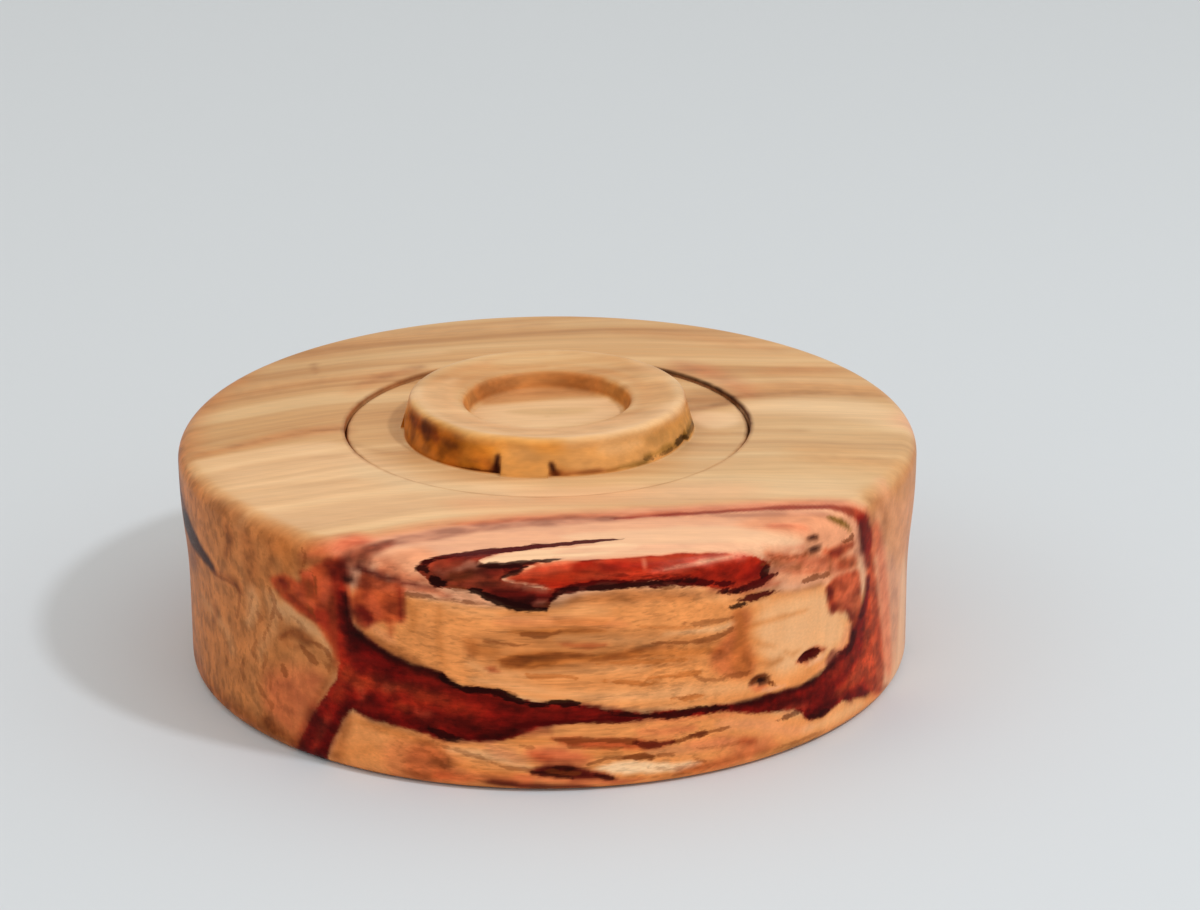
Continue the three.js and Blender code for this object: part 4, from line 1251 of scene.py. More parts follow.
STREAK_MARKS = [
    # Across the oval
    ("coral", 0.25, 2.0, [(500, 622, 6), (550, 622, 9), (620, 624, 6)]),
    ("walnut", 0.5, 2.5, [
        (470, 640), (520, 628), (600, 628), (700, 634), (734, 630), (730, 656),
        (660, 664), (560, 672), (500, 670),
    ]),
    ("amber", 0.75, 1.1, [(512, 632, 3), (535, 633, 6), (560, 631, 6), (600, 631, 3)]),
    ("umber", 0.65, 0.9, [(516, 634, 2), (528, 635, 5), (545, 635, 6), (562, 632, 2)]),
    ("umber", 0.35, 0.9, [(560, 631, 2), (580, 631, 3), (602, 630, 2)]),
    ("amber", 0.45, 1.1, [(500, 614, 2), (520, 614, 3), (545, 615, 2)]),
    ("amber", 0.4, 1.4, [(556, 622, 4), (580, 622, 6), (606, 622, 4)]),
    ("umber", 0.6, 0.8, [(484, 641, 2), (500, 643, 3), (518, 645, 3), (530, 644, 1)]),
    ("umber", 0.6, 1.6, [(466, 642, 6), (472, 648, 12), (472, 657, 7)]),
    ("amber", 0.5, 2.2, [(464, 640, 8), (478, 650, 14), (498, 652, 8)]),
    ("rust", 0.5, 1.0, [(562, 644, 3), (580, 646, 5), (604, 645, 3)]),
    ("amber", 0.9, 1.3, [
        (498, 660), (510, 655), (535, 652), (565, 652), (590, 655), (612, 653),
        (640, 649), (640, 654), (612, 660), (580, 662), (556, 666), (530, 669),
        (508, 668),
    ]),
    ("umber", 0.65, 1.2, [(502, 664, 5), (514, 663, 9), (530, 660, 6)]),
    ("umber", 0.4, 0.9, [(500, 661, 2), (512, 658, 4), (530, 656, 2)]),
    ("umber", 0.6, 1.1, [(520, 657, 4), (545, 657, 8), (575, 656, 5), (592, 656, 2)]),
    ("umber", 0.4, 0.9, [(536, 655, 2), (560, 654, 3), (584, 655, 2)]),
    ("umber", 0.4, 0.9, [(510, 668, 2), (530, 667, 3), (556, 663, 2)]),
    ("umber", 0.6, 1.1, [(606, 657, 3), (625, 654, 5), (645, 649, 6), (672, 646, 3)]),
    ("umber", 0.35, 0.9, [(590, 660, 2), (618, 658, 3), (650, 655, 2)]),
    ("amber", 0.7, 1.4, [(630, 656, 5), (660, 653, 8), (690, 652, 8), (720, 650, 6)]),
    ("amber", 0.6, 0.9, [(600, 663, 2), (640, 662, 4), (690, 660, 2)]),
    ("umber", 0.3, 0.9, [(640, 667, 1), (680, 665, 3), (712, 666, 1)]),
    ("umber", 0.65, 0.9, [
        (655, 643, 2), (685, 642, 4), (706, 640, 5), (720, 636, 5), (733, 628, 3),
    ]),
    ("umber", 0.35, 1.1, [(698, 642, 4), (710, 643, 6), (722, 642, 3)]),
    ("umber", 0.5, 1.0, [(684, 623, 2), (700, 624, 6), (716, 621, 5), (733, 617, 3)]),
    ("amber", 0.4, 1.0, [(640, 626, 2), (670, 628, 4), (700, 628, 2)]),
    ("rust", 0.45, 2.2, [
        (734, 612), (750, 612), (748, 636), (754, 656), (754, 672), (738, 678),
        (716, 672), (710, 656), (722, 640), (732, 628),
    ]),
    ("amber", 0.6, 2.2, [(738, 612, 8), (742, 640, 14), (740, 662, 20), (748, 674, 8)]),
    ("umber", 0.45, 1.2, [(720, 652, 4), (725, 656, 7), (728, 662, 3)]),
    ("umber", 0.45, 1.2, [(742, 650, 3), (746, 658, 6), (750, 666, 3)]),
    ("rust", 0.6, 0.9, [(486, 668, 2), (493, 670, 6), (500, 673, 2)]),
    ("amber", 0.65, 0.9, [(526, 675, 4), (538, 677, 5), (560, 676, 3), (576, 678, 3)]),
    ("amber", 0.7, 0.9, [(600, 681, 2), (622, 682, 4), (644, 684, 5), (660, 683, 2)]),
    ("amber", 0.7, 1.0, [(650, 678, 3), (675, 676, 5), (700, 672, 5)]),
    ("umber", 0.5, 0.9, [(694, 675, 3), (706, 680, 4), (726, 679, 3)]),
    ("umber", 0.6, 1.0, [(724, 676, 3), (738, 675, 6), (750, 672, 3)]),
    ("amber", 0.7, 0.9, [(672, 699, 2), (688, 698, 4), (704, 695, 3)]),
    ("umber", 0.4, 0.8, [(678, 698, 2), (690, 697, 3), (700, 695, 2)]),
    ("amber", 0.35, 1.6, [(440, 638, 4), (441, 655, 6), (446, 666, 4)]),
    ("amber", 0.4, 1.6, [(407, 602, 5), (414, 614, 9), (412, 630, 5)]),
    ("amber", 0.35, 1.4, [(440, 606, 3), (438, 624, 5), (438, 640, 3)]),
    ("amber", 0.5, 1.2, [(750, 627, 3), (768, 621, 6), (790, 615, 4), (806, 610, 2)]),
    ("amber", 0.4, 1.4, [(752, 640, 4), (762, 644, 7), (774, 646, 3)]),
    ("amber", 0.55, 1.6, [(752, 658, 5), (768, 664, 8), (782, 658, 4)]),
    ("amber", 0.4, 1.2, [(784, 652, 3), (792, 654, 6), (800, 650, 2)]),
    ("amber", 0.35, 1.2, [(800, 668, 2), (812, 668, 4), (824, 660, 2)]),
    ("amber", 0.45, 1.4, [(576, 600, 3), (610, 600, 5), (650, 598, 5), (690, 599, 3)]),
    ("umber", 0.3, 1.4, [(780, 594, 3), (800, 590, 4), (822, 584, 3)]),
    # Below the band, at the left
    ("amber", 0.35, 3.0, [(340, 755, 14), (360, 750, 16), (380, 756, 12)]),
    ("amber", 0.5, 1.6, [(360, 722, 3), (384, 730, 6), (410, 738, 6), (430, 744, 4)]),
    ("rust", 0.3, 3.5, [
        (384, 748), (414, 738), (440, 744), (462, 764), (470, 780), (430, 784),
        (392, 776),
    ]),
    ("rust", 0.4, 2.5, [
        (408, 752), (424, 746), (442, 752), (450, 766), (452, 778), (424, 780),
        (406, 770),
    ]),
    ("umber", 0.55, 1.2, [(424, 741, 3), (436, 748, 5), (446, 757, 5), (450, 766, 3)]),
    ("umber", 0.4, 1.6, [(430, 754, 5), (436, 762, 9), (442, 770, 6)]),
    ("umber", 0.35, 0.9, [(412, 748, 2), (428, 752, 3), (440, 762, 4), (446, 772, 2)]),
    ("umber", 0.5, 1.2, [(404, 772, 3), (420, 776, 6), (436, 778, 4)]),
    ("cream", 0.45, 1.6, [(450, 750, 5), (480, 754, 8), (512, 763, 6), (530, 768, 2)]),
    ("umber", 0.45, 0.9, [(430, 742, 2), (450, 748, 3), (474, 756, 3), (490, 761, 2)]),
    ("umber", 0.55, 0.9, [(486, 760, 2), (502, 766, 4), (520, 769, 4), (534, 771, 2)]),
    ("amber", 0.5, 1.2, [(455, 764, 3), (490, 772, 6), (530, 776, 3)]),
    ("rust", 0.45, 2.0, [(440, 776, 8), (490, 779, 9), (530, 781, 8)]),
    ("peach", 0.6, 2.0, [(488, 748, 6), (506, 754, 12), (524, 760, 6)]),
    # Below the band, in the middle
    ("coral", 0.75, 2.0, [(528, 754, 8), (550, 756, 18), (572, 758, 15), (590, 758, 6)]),
    ("rust", 0.5, 1.2, [(532, 754, 4), (542, 758, 7), (552, 758, 4)]),
    ("umber", 0.45, 0.9, [(518, 745, 2), (526, 747, 4), (534, 748, 2)]),
    ("amber", 0.5, 1.2, [(508, 740, 3), (530, 741, 6), (552, 740, 3)]),
    ("rust", 0.85, 1.1, [
        (552, 738), (566, 738), (585, 738), (610, 738), (636, 739), (660, 742),
        (674, 741), (664, 747), (645, 749), (620, 749), (590, 748), (572, 747),
        (562, 743),
    ]),
    ("umber", 0.75, 1.0, [
        (554, 739, 3), (568, 740, 5), (590, 740, 5), (615, 740, 5), (636, 742, 6),
    ]),
    ("umber", 0.5, 1.0, [(570, 747, 3), (590, 748, 3), (620, 748, 3)]),
    ("maroon", 0.8, 0.9, [(634, 743, 3), (646, 745, 6), (660, 744, 6), (674, 741, 3)]),
    ("umber", 0.85, 0.8, [(672, 742, 3), (684, 739, 4), (696, 735, 7), (708, 732, 5)]),
    ("maroon", 0.6, 0.8, [(690, 736, 3), (700, 734, 5), (708, 732, 3)]),
    ("umber", 0.7, 0.8, [(706, 732, 3), (718, 730, 3), (730, 727, 2)]),
    ("coral", 0.4, 1.6, [(640, 731, 6), (670, 731, 8), (694, 728, 5)]),
    ("amber", 0.4, 1.6, [(586, 755, 6), (610, 753, 8), (640, 752, 5)]),
    ("umber", 0.6, 0.9, [(588, 764, 3), (604, 760, 4), (622, 758, 4)]),
    ("umber", 0.9, 0.7, [(620, 758, 2), (632, 757, 5), (646, 757, 6), (656, 757, 3)]),
    ("umber", 0.6, 0.8, [(654, 757, 2), (664, 755, 3), (676, 754, 2)]),
    ("cream", 0.95, 1.0, [
        (594, 769), (606, 765), (622, 761), (640, 761), (665, 763), (690, 761),
        (702, 763), (690, 769), (668, 773), (640, 774), (616, 774), (602, 771),
    ]),
    ("mauve", 0.35, 2.0, [(650, 752, 4), (690, 748, 10), (730, 742, 6)]),
    ("umber", 0.5, 0.9, [(692, 757, 2), (698, 760, 5), (706, 762, 2)]),
    ("maroon", 0.95, 1.1, [
        (530, 772), (542, 767), (556, 765), (575, 766), (590, 770), (606, 773),
        (616, 779), (600, 780), (578, 780), (556, 778), (540, 776),
    ]),
    ("umber", 0.5, 1.0, [(546, 772, 4), (560, 773, 6), (580, 773, 4)]),
    ("black", 0.7, 0.8, [(554, 767, 2), (566, 768, 4), (580, 769, 2)]),
    ("black", 0.7, 0.8, [(532, 773, 4), (544, 774, 4), (574, 778, 3)]),
    ("black", 0.7, 0.8, [(594, 775, 3), (604, 777, 5), (614, 778, 3)]),
    ("coral", 0.6, 1.2, [(520, 777, 4), (560, 781, 5), (610, 782, 5), (640, 779, 3)]),
    ("maroon", 0.7, 1.4, [(490, 782, 3), (520, 785, 6), (550, 787, 6), (590, 787, 3)]),
    ("umber", 0.5, 2.5, [(340, 768, 4), (420, 784, 6), (520, 792, 6), (640, 790, 4)]),
    ("amber", 0.5, 1.6, [(630, 777, 4), (665, 775, 6), (700, 770, 5)]),
    # Below the band, at the right
    ("rust", 0.5, 2.4, [(680, 771, 5), (714, 764, 10), (738, 757, 10), (774, 746, 4)]),
    ("umber", 0.35, 1.4, [(694, 768, 3), (714, 765, 6), (734, 759, 5), (752, 753, 2)]),
    ("coral", 0.35, 2.4, [(690, 744, 6), (720, 742, 12), (745, 746, 16), (770, 740, 8)]),
    ("rust", 0.6, 1.4, [(740, 742, 4), (748, 741, 8), (756, 741, 5)]),
    ("umber", 0.4, 0.9, [(776, 748, 1), (800, 740, 3), (826, 730, 1)]),
    ("umber", 0.35, 0.9, [(700, 748, 1), (724, 746, 3), (744, 741, 1)]),
    ("umber", 0.4, 0.9, [(650, 768, 1), (674, 769, 3), (696, 764, 1)]),
    ("peach", 0.5, 2.2, [(720, 724, 8), (760, 724, 14), (790, 730, 12), (810, 728, 5)]),
    ("cream", 0.4, 2.4, [(806, 730, 5), (830, 720, 10), (860, 704, 8)]),
    ("olive", 0.3, 2.0, [(760, 756, 4), (800, 744, 6), (840, 730, 6), (870, 708, 4)]),
    # Knots and specks; the salmon under two knots is a painted highlight on the hollows'
    # lower rims
    ("salmon", 0.7, 0.8, [(808, 664, 2), (816, 661, 4), (823, 656, 3)]),
    ("coral", 0.6, 0.9, [(751, 687, 3), (758, 688, 5), (766, 686, 3)]),
    ("salmon", 0.7, 0.8, [(764, 690, 2), (774, 688, 5), (784, 686, 2)]),
    ("rust", 0.8, 1.0, [(798, 662, 3), (806, 658, 10), (816, 651, 9), (825, 649, 3)]),
    ("maroon", 0.95, 0.8, [(799, 661, 3), (806, 658, 9), (814, 653, 9), (820, 650, 5)]),
    ("black", 0.9, 1.2, [(803, 659, 4), (808, 656, 8), (813, 654, 7)]),
    ("umber", 0.7, 1.0, [(750, 684, 3), (760, 677, 6), (770, 677, 3)]),
    ("black", 0.95, 1.1, [(752, 683, 4), (758, 680, 8), (764, 679, 8), (769, 679, 4)]),
    ("umber", 0.9, 0.7, [(767, 680, 3), (772, 683, 4), (777, 686, 2)]),
    ("umber", 0.3, 1.2, [(806, 541, 3), (812, 539, 6), (818, 537, 3)]),
    ("black", 0.8, 1.1, [(808, 539, 2), (812, 538, 5), (817, 537, 2)]),
    ("umber", 0.4, 1.2, [(805, 555, 3), (811, 552, 7), (820, 548, 3)]),
    ("black", 0.75, 1.1, [(811, 551, 3), (815, 549, 6), (820, 547, 3)]),
]

# Hollows at the knots, as a depth in millimetres and pixels
KNOTS = [
    (0.7, [(801, 660, 3), (808, 656, 8), (818, 651, 4)]),
    (0.6, [(753, 682, 2), (760, 680, 6), (768, 679, 3)]),
    (0.25, [(807, 539, 2), (812, 538, 4), (817, 537, 2)]),
    (0.3, [(809, 551, 3), (815, 549, 6), (821, 548, 2)]),
]

# Marks on the sides that the photograph doesn't show, in degrees from the front, with
# right positive, and in millimetres of height. A third number is a streak's width.
HIDDEN_MARKS = [
    # The dark streak carries on round the back from the left
    ("walnut", 0.8, 9.0, [(-80, 20, 40), (-100, 20, 40), (-122, 20, 38), (-146, 20, 20)]),
    ("rust", 0.6, 3.0, [(-86, 31, 4), (-104, 33, 8), (-128, 33, 9), (-155, 30, 4)]),
    ("crimson", 0.85, 1.6, [(-84, 31, 3), (-98, 33, 5), (-118, 34, 6), (-142, 32, 2)]),
    ("black", 0.8, 1.1, [(-80, 31, 2), (-92, 34, 2), (-112, 37, 1.4), (-130, 36.5, 0.5)]),
    ("black", 0.7, 1.0, [(-96, 30, 0.6), (-114, 30.5, 1.4), (-134, 31, 0.4)]),
    ("coral", 0.4, 5.0, [(-96, 10, 8), (-112, 12, 12), (-126, 12, 8)]),
    ("umber", 0.6, 1.2, [(-97, 18, 3), (-99, 14, 4), (-96, 10, 2)]),
    ("umber", 0.6, 1.2, [(-108, 22, 2), (-110, 17, 4), (-107, 12, 2)]),
    ("umber", 0.5, 1.2, [(-118, 20, 2), (-120, 15, 4), (-118, 9, 2)]),
    # The band ends past the right edge
    ("salmon", 0.6, 6.0, [(88, 20, 34), (100, 20, 36), (112, 20, 30)]),
    ("rust", 0.5, 3.0, [(94, 18, 2), (104, 18, 5), (118, 19, 6), (134, 20, 2)]),
    ("crimson", 0.8, 1.6, [(98, 18, 1), (108, 18, 2.6), (122, 19, 2.2), (138, 20, 0.6)]),
    ("crimson", 0.6, 1.4, [(108, 15, 0.6), (118, 15, 1.8), (130, 16, 0.6)]),
    ("black", 0.6, 1.0, [(104, 17, 0.4), (114, 17.5, 1), (128, 18.5, 0.4)]),
    ("umber", 0.5, 1.4, [(96, 28, 0.8), (112, 29, 2), (130, 28, 0.8)]),
    # Brown streaks along the back
    ("gold", 0.6, 9.0, [(118, 18, 18), (150, 20, 30), (190, 18, 32), (232, 20, 22)]),
    ("amber", 0.7, 1.4, [(118, 25, 1), (135, 27, 2), (158, 27, 2.4), (185, 25, 1)]),
    ("amber", 0.65, 1.2, [(140, 21, 1), (165, 22, 1.8), (195, 22, 2), (215, 20, 0.8)]),
    ("amber", 0.6, 1.2, [(125, 14, 0.8), (150, 15, 1.6), (180, 14, 1.8), (205, 15, 0.8)]),
    ("umber", 0.6, 1.0, [(150, 31, 0.5), (170, 31.5, 1), (192, 30, 0.4)]),
    ("umber", 0.6, 1.0, [(132, 9, 0.5), (152, 9.5, 1.1), (176, 9, 0.9), (198, 10, 0.4)]),
    ("umber", 0.55, 0.9, [(178, 18, 0.4), (190, 18.5, 1), (206, 18, 0.4)]),
    ("coral", 0.5, 3.0, [(150, 5, 4), (175, 6, 5), (205, 5, 4)]),
    ("cream", 0.5, 2.5, [(125, 18, 2), (155, 18.5, 3), (190, 18, 3), (215, 17, 2)]),
    ("maroon", 0.6, 1.0, [(160, 4, 0.6), (178, 4.5, 1.4), (196, 4, 0.5)]),
]

# Marks that run down through deck, lid and knob alike
TOP_MARKS = [
    ("cream", 0.45, 9.0, [
        (205, 462), (260, 452), (345, 446), (420, 470), (560, 486), (700, 484),
        (830, 478), (860, 496), (700, 502), (520, 514), (400, 526), (300, 528),
        (240, 505),
    ]),
    ("cream", 0.5, 6.0, [(745, 408, 10), (800, 406, 16), (870, 410, 20), (905, 420, 16)]),
    ("peach", 0.3, 9.0, [(470, 502, 14), (600, 494, 18), (740, 490, 14)]),
    ("amber", 0.25, 9.0, [(800, 452, 10), (850, 456, 16), (905, 462, 12)]),
    ("amber", 0.25, 7.0, [(205, 400, 8), (260, 388, 14), (320, 380, 10), (380, 374, 5)]),
    ("cream", 0.25, 4.0, [(320, 364, 4), (380, 358, 7), (440, 352, 5)]),
    ("amber", 0.25, 7.0, [(300, 352, 8), (350, 340, 12), (430, 330, 12), (540, 323, 8)]),
    ("amber", 0.25, 6.0, [(620, 330, 5), (690, 334, 10), (770, 345, 7)]),
    ("amber", 0.5, 4.0, [(195, 452, 4), (245, 443, 7), (290, 434, 9), (345, 428, 6)]),
    ("umber", 0.3, 2.5, [(235, 444, 2), (275, 437, 4), (310, 431, 4), (342, 428, 2)]),
    ("cream", 0.3, 3.0, [(195, 459, 5), (250, 451, 7), (330, 445, 6)]),
    ("umber", 0.1, 3.0, [(230, 466, 3), (290, 458, 4), (340, 456, 3)]),
    ("umber", 0.1, 3.0, [(225, 489, 4), (290, 484, 5), (350, 480, 3)]),
    ("amber", 0.3, 5.0, [(350, 392, 6), (385, 377, 10), (420, 368, 6)]),
    ("umber", 0.35, 3.0, [(360, 384, 2), (390, 374, 5), (420, 367, 3)]),
    # Darker wood at the back right of the knob, partly painted shade cast by the knob
    ("rust", 0.35, 6.0, [(675, 364, 8), (705, 372, 14), (738, 386, 14), (752, 394, 5)]),
    ("umber", 0.25, 5.0, [(690, 394, 14), (712, 396, 18), (736, 394, 8)]),
    ("umber", 0.5, 2.0, [(688, 406, 4), (708, 404, 4), (738, 398, 4)]),
    ("umber", 0.35, 3.0, [(745, 395, 4), (790, 392, 6), (840, 391, 5), (884, 392, 3)]),
    ("amber", 0.3, 6.0, [(748, 388, 6), (800, 384, 12), (880, 384, 10)]),
    ("amber", 0.25, 6.0, [(762, 372, 5), (790, 368, 10), (830, 366, 6)]),
    ("cream", 0.7, 3.0, [(692, 414, 6), (712, 417, 16), (738, 416, 10)]),
    ("umber", 0.2, 2.5, [(700, 431, 3), (745, 430, 3), (800, 430, 2)]),
    ("umber", 0.2, 3.0, [(350, 440, 2), (380, 448, 4), (415, 450, 3)]),
    ("umber", 0.5, 1.4, [(312, 362, 2), (315, 367, 5), (317, 371, 2)]),
    # Darker wood at the left and the back, paler at the right
    ("olive", 0.1, 14.0, [
        (170, 430), (210, 370), (300, 335), (420, 316), (560, 312), (700, 322),
        (660, 340), (480, 345), (360, 372), (300, 420), (220, 450),
    ]),
    ("sand", 0.25, 14.0, [
        (700, 440), (780, 400), (860, 390), (920, 430), (910, 470), (840, 500),
        (740, 500), (640, 500),
    ]),
    ("sand", 0.3, 6.0, [(360, 470, 10), (430, 486, 16), (520, 496, 10)]),
    ("cream", 0.3, 3.0, [(480, 484, 8), (560, 490, 12), (640, 484, 8)]),
]

# Marks on the knob's side
KNOB_MARKS = [
    ("honey", 0.95, 4.0, [
        (396, 400), (430, 420), (470, 434), (520, 442), (560, 444), (560, 482),
        (500, 482), (440, 470), (400, 450),
    ]),
    ("honey", 0.35, 4.0, [
        (500, 440), (560, 444), (620, 438), (670, 420), (696, 400), (700, 440),
        (650, 470), (600, 480), (540, 486), (500, 484),
    ]),
    ("straw", 0.85, 4.0, [
        (500, 446), (560, 446), (620, 440), (670, 424), (696, 404), (700, 440),
        (650, 470), (600, 480), (540, 486), (500, 484),
    ]),
    ("straw", 0.4, 3.0, [(470, 438, 6), (500, 446, 10), (530, 452, 14)]),
    ("syrup", 0.75, 3.0, [
        (394, 400), (420, 416), (440, 428), (460, 438), (456, 472), (420, 462),
        (396, 440),
    ]),
    ("syrup", 0.3, 3.0, [(450, 446, 12), (470, 454, 20), (488, 460, 10)]),
    ("walnut", 0.5, 2.0, [(406, 424, 5), (414, 436, 10), (424, 450, 10), (436, 458, 5)]),
    ("maroon", 0.35, 1.8, [(410, 414, 5), (420, 424, 12), (430, 430, 12), (438, 440, 5)]),
    ("black", 0.3, 1.2, [(412, 416, 3), (414, 426, 6), (412, 440, 3)]),
    ("black", 0.35, 1.2, [(424, 420, 5), (427, 430, 9), (426, 440, 5)]),
    ("black", 0.3, 1.2, [(440, 438, 4), (448, 443, 8), (456, 447, 4)]),
    ("cream", 0.25, 2.0, [(600, 450, 8), (620, 448, 12), (640, 442, 8)]),
    ("umber", 0.3, 1.4, [(468, 460, 4), (484, 462, 6), (492, 458, 4)]),
    ("olive", 0.2, 3.0, [(650, 440, 12), (674, 432, 20), (692, 420, 18)]),
    ("cream", 0.3, 1.6, [(640, 428, 3), (666, 420, 6), (686, 408, 4)]),
    # Dark line along the foot: dirt, with painted shade in the corner under the knob and in
    # the jaw bites
    ("umber", 0.75, 1.2, [
        (402, 440, 3), (414, 454, 4), (436, 464, 4), (462, 470, 5), (494, 475, 6),
    ]),
    ("black", 0.55, 0.9, [(426, 461, 1), (448, 467, 2), (474, 471, 4), (496, 474, 5)]),
    # Painted shade in the jaw bites either side of the tab
    ("black", 0.95, 1.1, [(498, 456, 4), (497, 463, 6), (496, 471, 8), (494, 479, 8)]),
    ("black", 0.95, 1.1, [(551, 464, 3), (553, 470, 5), (557, 477, 7)]),
    ("umber", 0.6, 1.6, [(488, 462, 4), (492, 472, 7), (490, 480, 6)]),
    ("umber", 0.8, 1.1, [(552, 475, 6), (572, 474, 5), (594, 472, 3), (616, 469, 1)]),
    ("umber", 0.3, 0.9, [(506, 476, 2), (526, 478, 3), (544, 478, 2)]),
    # Olive and black at the right foot: dirt, with painted shade in the gap under the right
    # tab
    ("olive", 0.6, 1.2, [(610, 470, 2), (632, 466, 4), (648, 461, 4)]),
    ("olive", 0.6, 1.2, [(646, 456, 3), (664, 450, 6), (684, 438, 7), (694, 416, 5)]),
    ("black", 0.5, 0.9, [(644, 459, 2), (650, 458, 5), (656, 457, 2)]),
    ("black", 0.5, 0.9, [(660, 455, 2), (668, 452, 3), (676, 448, 2)]),
    ("black", 0.75, 0.9, [(676, 444, 4), (682, 440, 9), (688, 436, 4)]),
    ("black", 0.45, 0.9, [(688, 434, 3), (693, 426, 5), (695, 416, 3)]),
]

# Marks on the dish's floor
DISH_FLOOR_MARKS = [
    ("amber", 0.35, 2.5, [
        (462, 400), (484, 384), (530, 374), (590, 376), (622, 386), (634, 396),
        (570, 397), (500, 404),
    ]),
    ("cream", 0.5, 4.0, [
        (458, 410), (500, 404), (560, 400), (620, 396), (640, 398), (626, 414),
        (580, 424), (520, 428), (476, 420),
    ]),
    ("olive", 0.14, 3.0, [(514, 412, 3), (555, 412, 7), (588, 410, 3)]),
]

# Marks on the knob's top
RING_MARKS = [
    ("cream", 0.5, 3.0, [
        (412, 396), (430, 384), (458, 378), (456, 400), (480, 418), (560, 428),
        (640, 412), (680, 398), (684, 410), (620, 434), (540, 440), (460, 430),
    ]),
    ("amber", 0.3, 4.0, [(500, 362, 8), (560, 360, 14), (610, 364, 14), (660, 376, 8)]),
    ("umber", 0.15, 2.0, [(466, 402, 5), (474, 411, 6), (490, 418, 4)]),
    ("cream", 0.3, 4.0, [(636, 362, 8), (668, 378, 14), (680, 394, 8)]),
    ("sand", 0.2, 3.0, [
        (420, 396, 10), (430, 378, 14), (470, 364, 12), (540, 358, 10), (610, 362, 10),
        (660, 374, 14), (678, 392, 12),
    ]),
    # Painted highlight on the knob's rounded front edge, in sand and cream
    ("sand", 0.35, 2.0, [(414, 404, 4), (440, 424, 8), (490, 440, 8), (550, 444, 5)]),
    ("cream", 0.35, 2.0, [(560, 440, 3), (600, 436, 6), (640, 428, 6), (676, 412, 4)]),
    ("cream", 0.4, 1.2, [
        (412, 396, 2), (418, 408, 3), (440, 424, 3), (480, 436, 3), (540, 441, 3),
    ]),
]

# Colours of the plain wood, as red, green and blue from 0 to 255
PALE_WOOD = (225, 182, 131)
MIDDLE_WOOD = (210, 160, 108)
BROWN_WOOD = (192, 139, 90)
END_WOOD = (192, 120, 68)


# The screen's curve: where its straight foot ends, how steep that is, and the rest
CURVE_KNEE = 0.04045
CURVE_SLOPE = 12.92
CURVE_OFFSET = 0.055
CURVE_POWER = 2.4


def to_linear(values):
    """Colours of 0 to 1 as light, without the screen's curve."""
    curved = ((values + CURVE_OFFSET) / (1 + CURVE_OFFSET)) ** CURVE_POWER
    return np.where(values <= CURVE_KNEE, values / CURVE_SLOPE, curved)


def linear(colour):
    """A colour of 0 to 255 as Blender's linear red, green, blue and alpha."""
    return (*to_linear(np.array(colour) / FULL_COLOUR), 1)


class Graph:
    """Adds nodes to a material and links them as it goes."""

    def __init__(self, name):
        self.material = bpy.data.materials.new(name)
        self.material.use_nodes = True
        self.tree = self.material.node_tree
        self.shader = self.tree.nodes["Principled BSDF"]

    def node(self, kind, inputs=(), **settings):
        """A new node with its settings and inputs."""
        made = self.tree.nodes.new(kind)
        for key, value in settings.items():
            setattr(made, key, value)
        for key, value in dict(inputs).items():
            self.feed(made.inputs[key], value)
        return made

    def feed(self, socket, value):
        """Links an output to a socket, or sets the socket to a plain value."""
        if isinstance(value, bpy.types.NodeSocket):
            self.tree.links.new(value, socket)
        else:
            socket.default_value = value

    def maths(self, operation, *values):
        """The result of one operation on some values."""
        inputs = dict(enumerate(values))
        return self.node("ShaderNodeMath", inputs, operation=operation).outputs[0]

    def noise(self, vector, detail=2, rough=0.5):
        """Noise from 0 to 1 with features about one unit wide."""
        inputs = {"Vector": vector, "Scale": 1, "Detail": detail, "Roughness": rough}
        return self.node("ShaderNodeTexNoise", inputs).outputs["Fac"]

    def between(self, value, low, high, to_low=0, to_high=1):
        """A smooth rise from to_low at low to to_high at high."""
        inputs = {0: value, 1: low, 2: high, 3: to_low, 4: to_high}
        made = self.node("ShaderNodeMapRange", inputs, interpolation_type="SMOOTHSTEP")
        return made.outputs[0]

    def mix(self, share, first, second, blend="MIX"):
        """The first colour with a share of the second."""
        inputs = {0: share, 6: first, 7: second}
        made = self.node("ShaderNodeMix", inputs, data_type="RGBA", blend_type=blend)
        return made.outputs[2]

    def grey(self, value):
        """A value as a colour."""
        return self.node("ShaderNodeCombineXYZ", {0: value, 1: value, 2: value}).outputs[0]

    def stretched(self, vector, scale):
        """Places multiplied by a scale along each axis."""
        inputs = {"Vector": vector, "Scale": scale}
        return self.node("ShaderNodeMapping", inputs).outputs[0]

    def drawn_out(self, vector, length, width):
        """Places in which noise has this length along the grain and width across it."""
        return self.stretched(vector, (1 / length, 1 / width, 1 / width))


# Grain, in millimetres
PITH_Y = -90.0
PITH_Z = 22.0
BEND_FROM = 20.0
BEND = 0.0025
WANDER = 10.0
WANDER_LENGTH = 60.0
WANDER_WIDTH = 34.0
BROAD_LENGTH = 190.0
BROAD_WIDTH = 7.5
LINE_LENGTH = 80.0
LINE_WIDTH = 1.7
FIBRE_LENGTH = 7.0
FIBRE_WIDTH = 0.35
STREAK_LENGTH = 14.0
STREAK_WIDTH = 0.7
SPECK_LENGTH = 1.4
SPECK_WIDTH = 0.5
FLECK_DEPTH = 3.0
FLECK_WIDTH = 1.4
FLECK_HEIGHT = 2.6
FRAY = 0.8
FRAY_LENGTH = 1.8
FRAY_WIDTH = 0.35
CRISP_HALF = 0.2  # half the width over which a crisp edge fades
BLOTCH_LENGTH = 3.2
BLOTCH_WIDTH = 1.8
VEIN_LENGTH = 12.0
VEIN_WIDTH = 0.8
FIBRE_HEIGHT = 0.06

# Detail and roughness of the noises that aren't plain
BROAD_NOISE = (3, 0.55)
LINE_NOISE = (2, 0.55)
FLECK_NOISE = (3, 0.6)
VEIN_NOISE = (4, 0.6)
BLOTCH_NOISE = (4, 0.65)

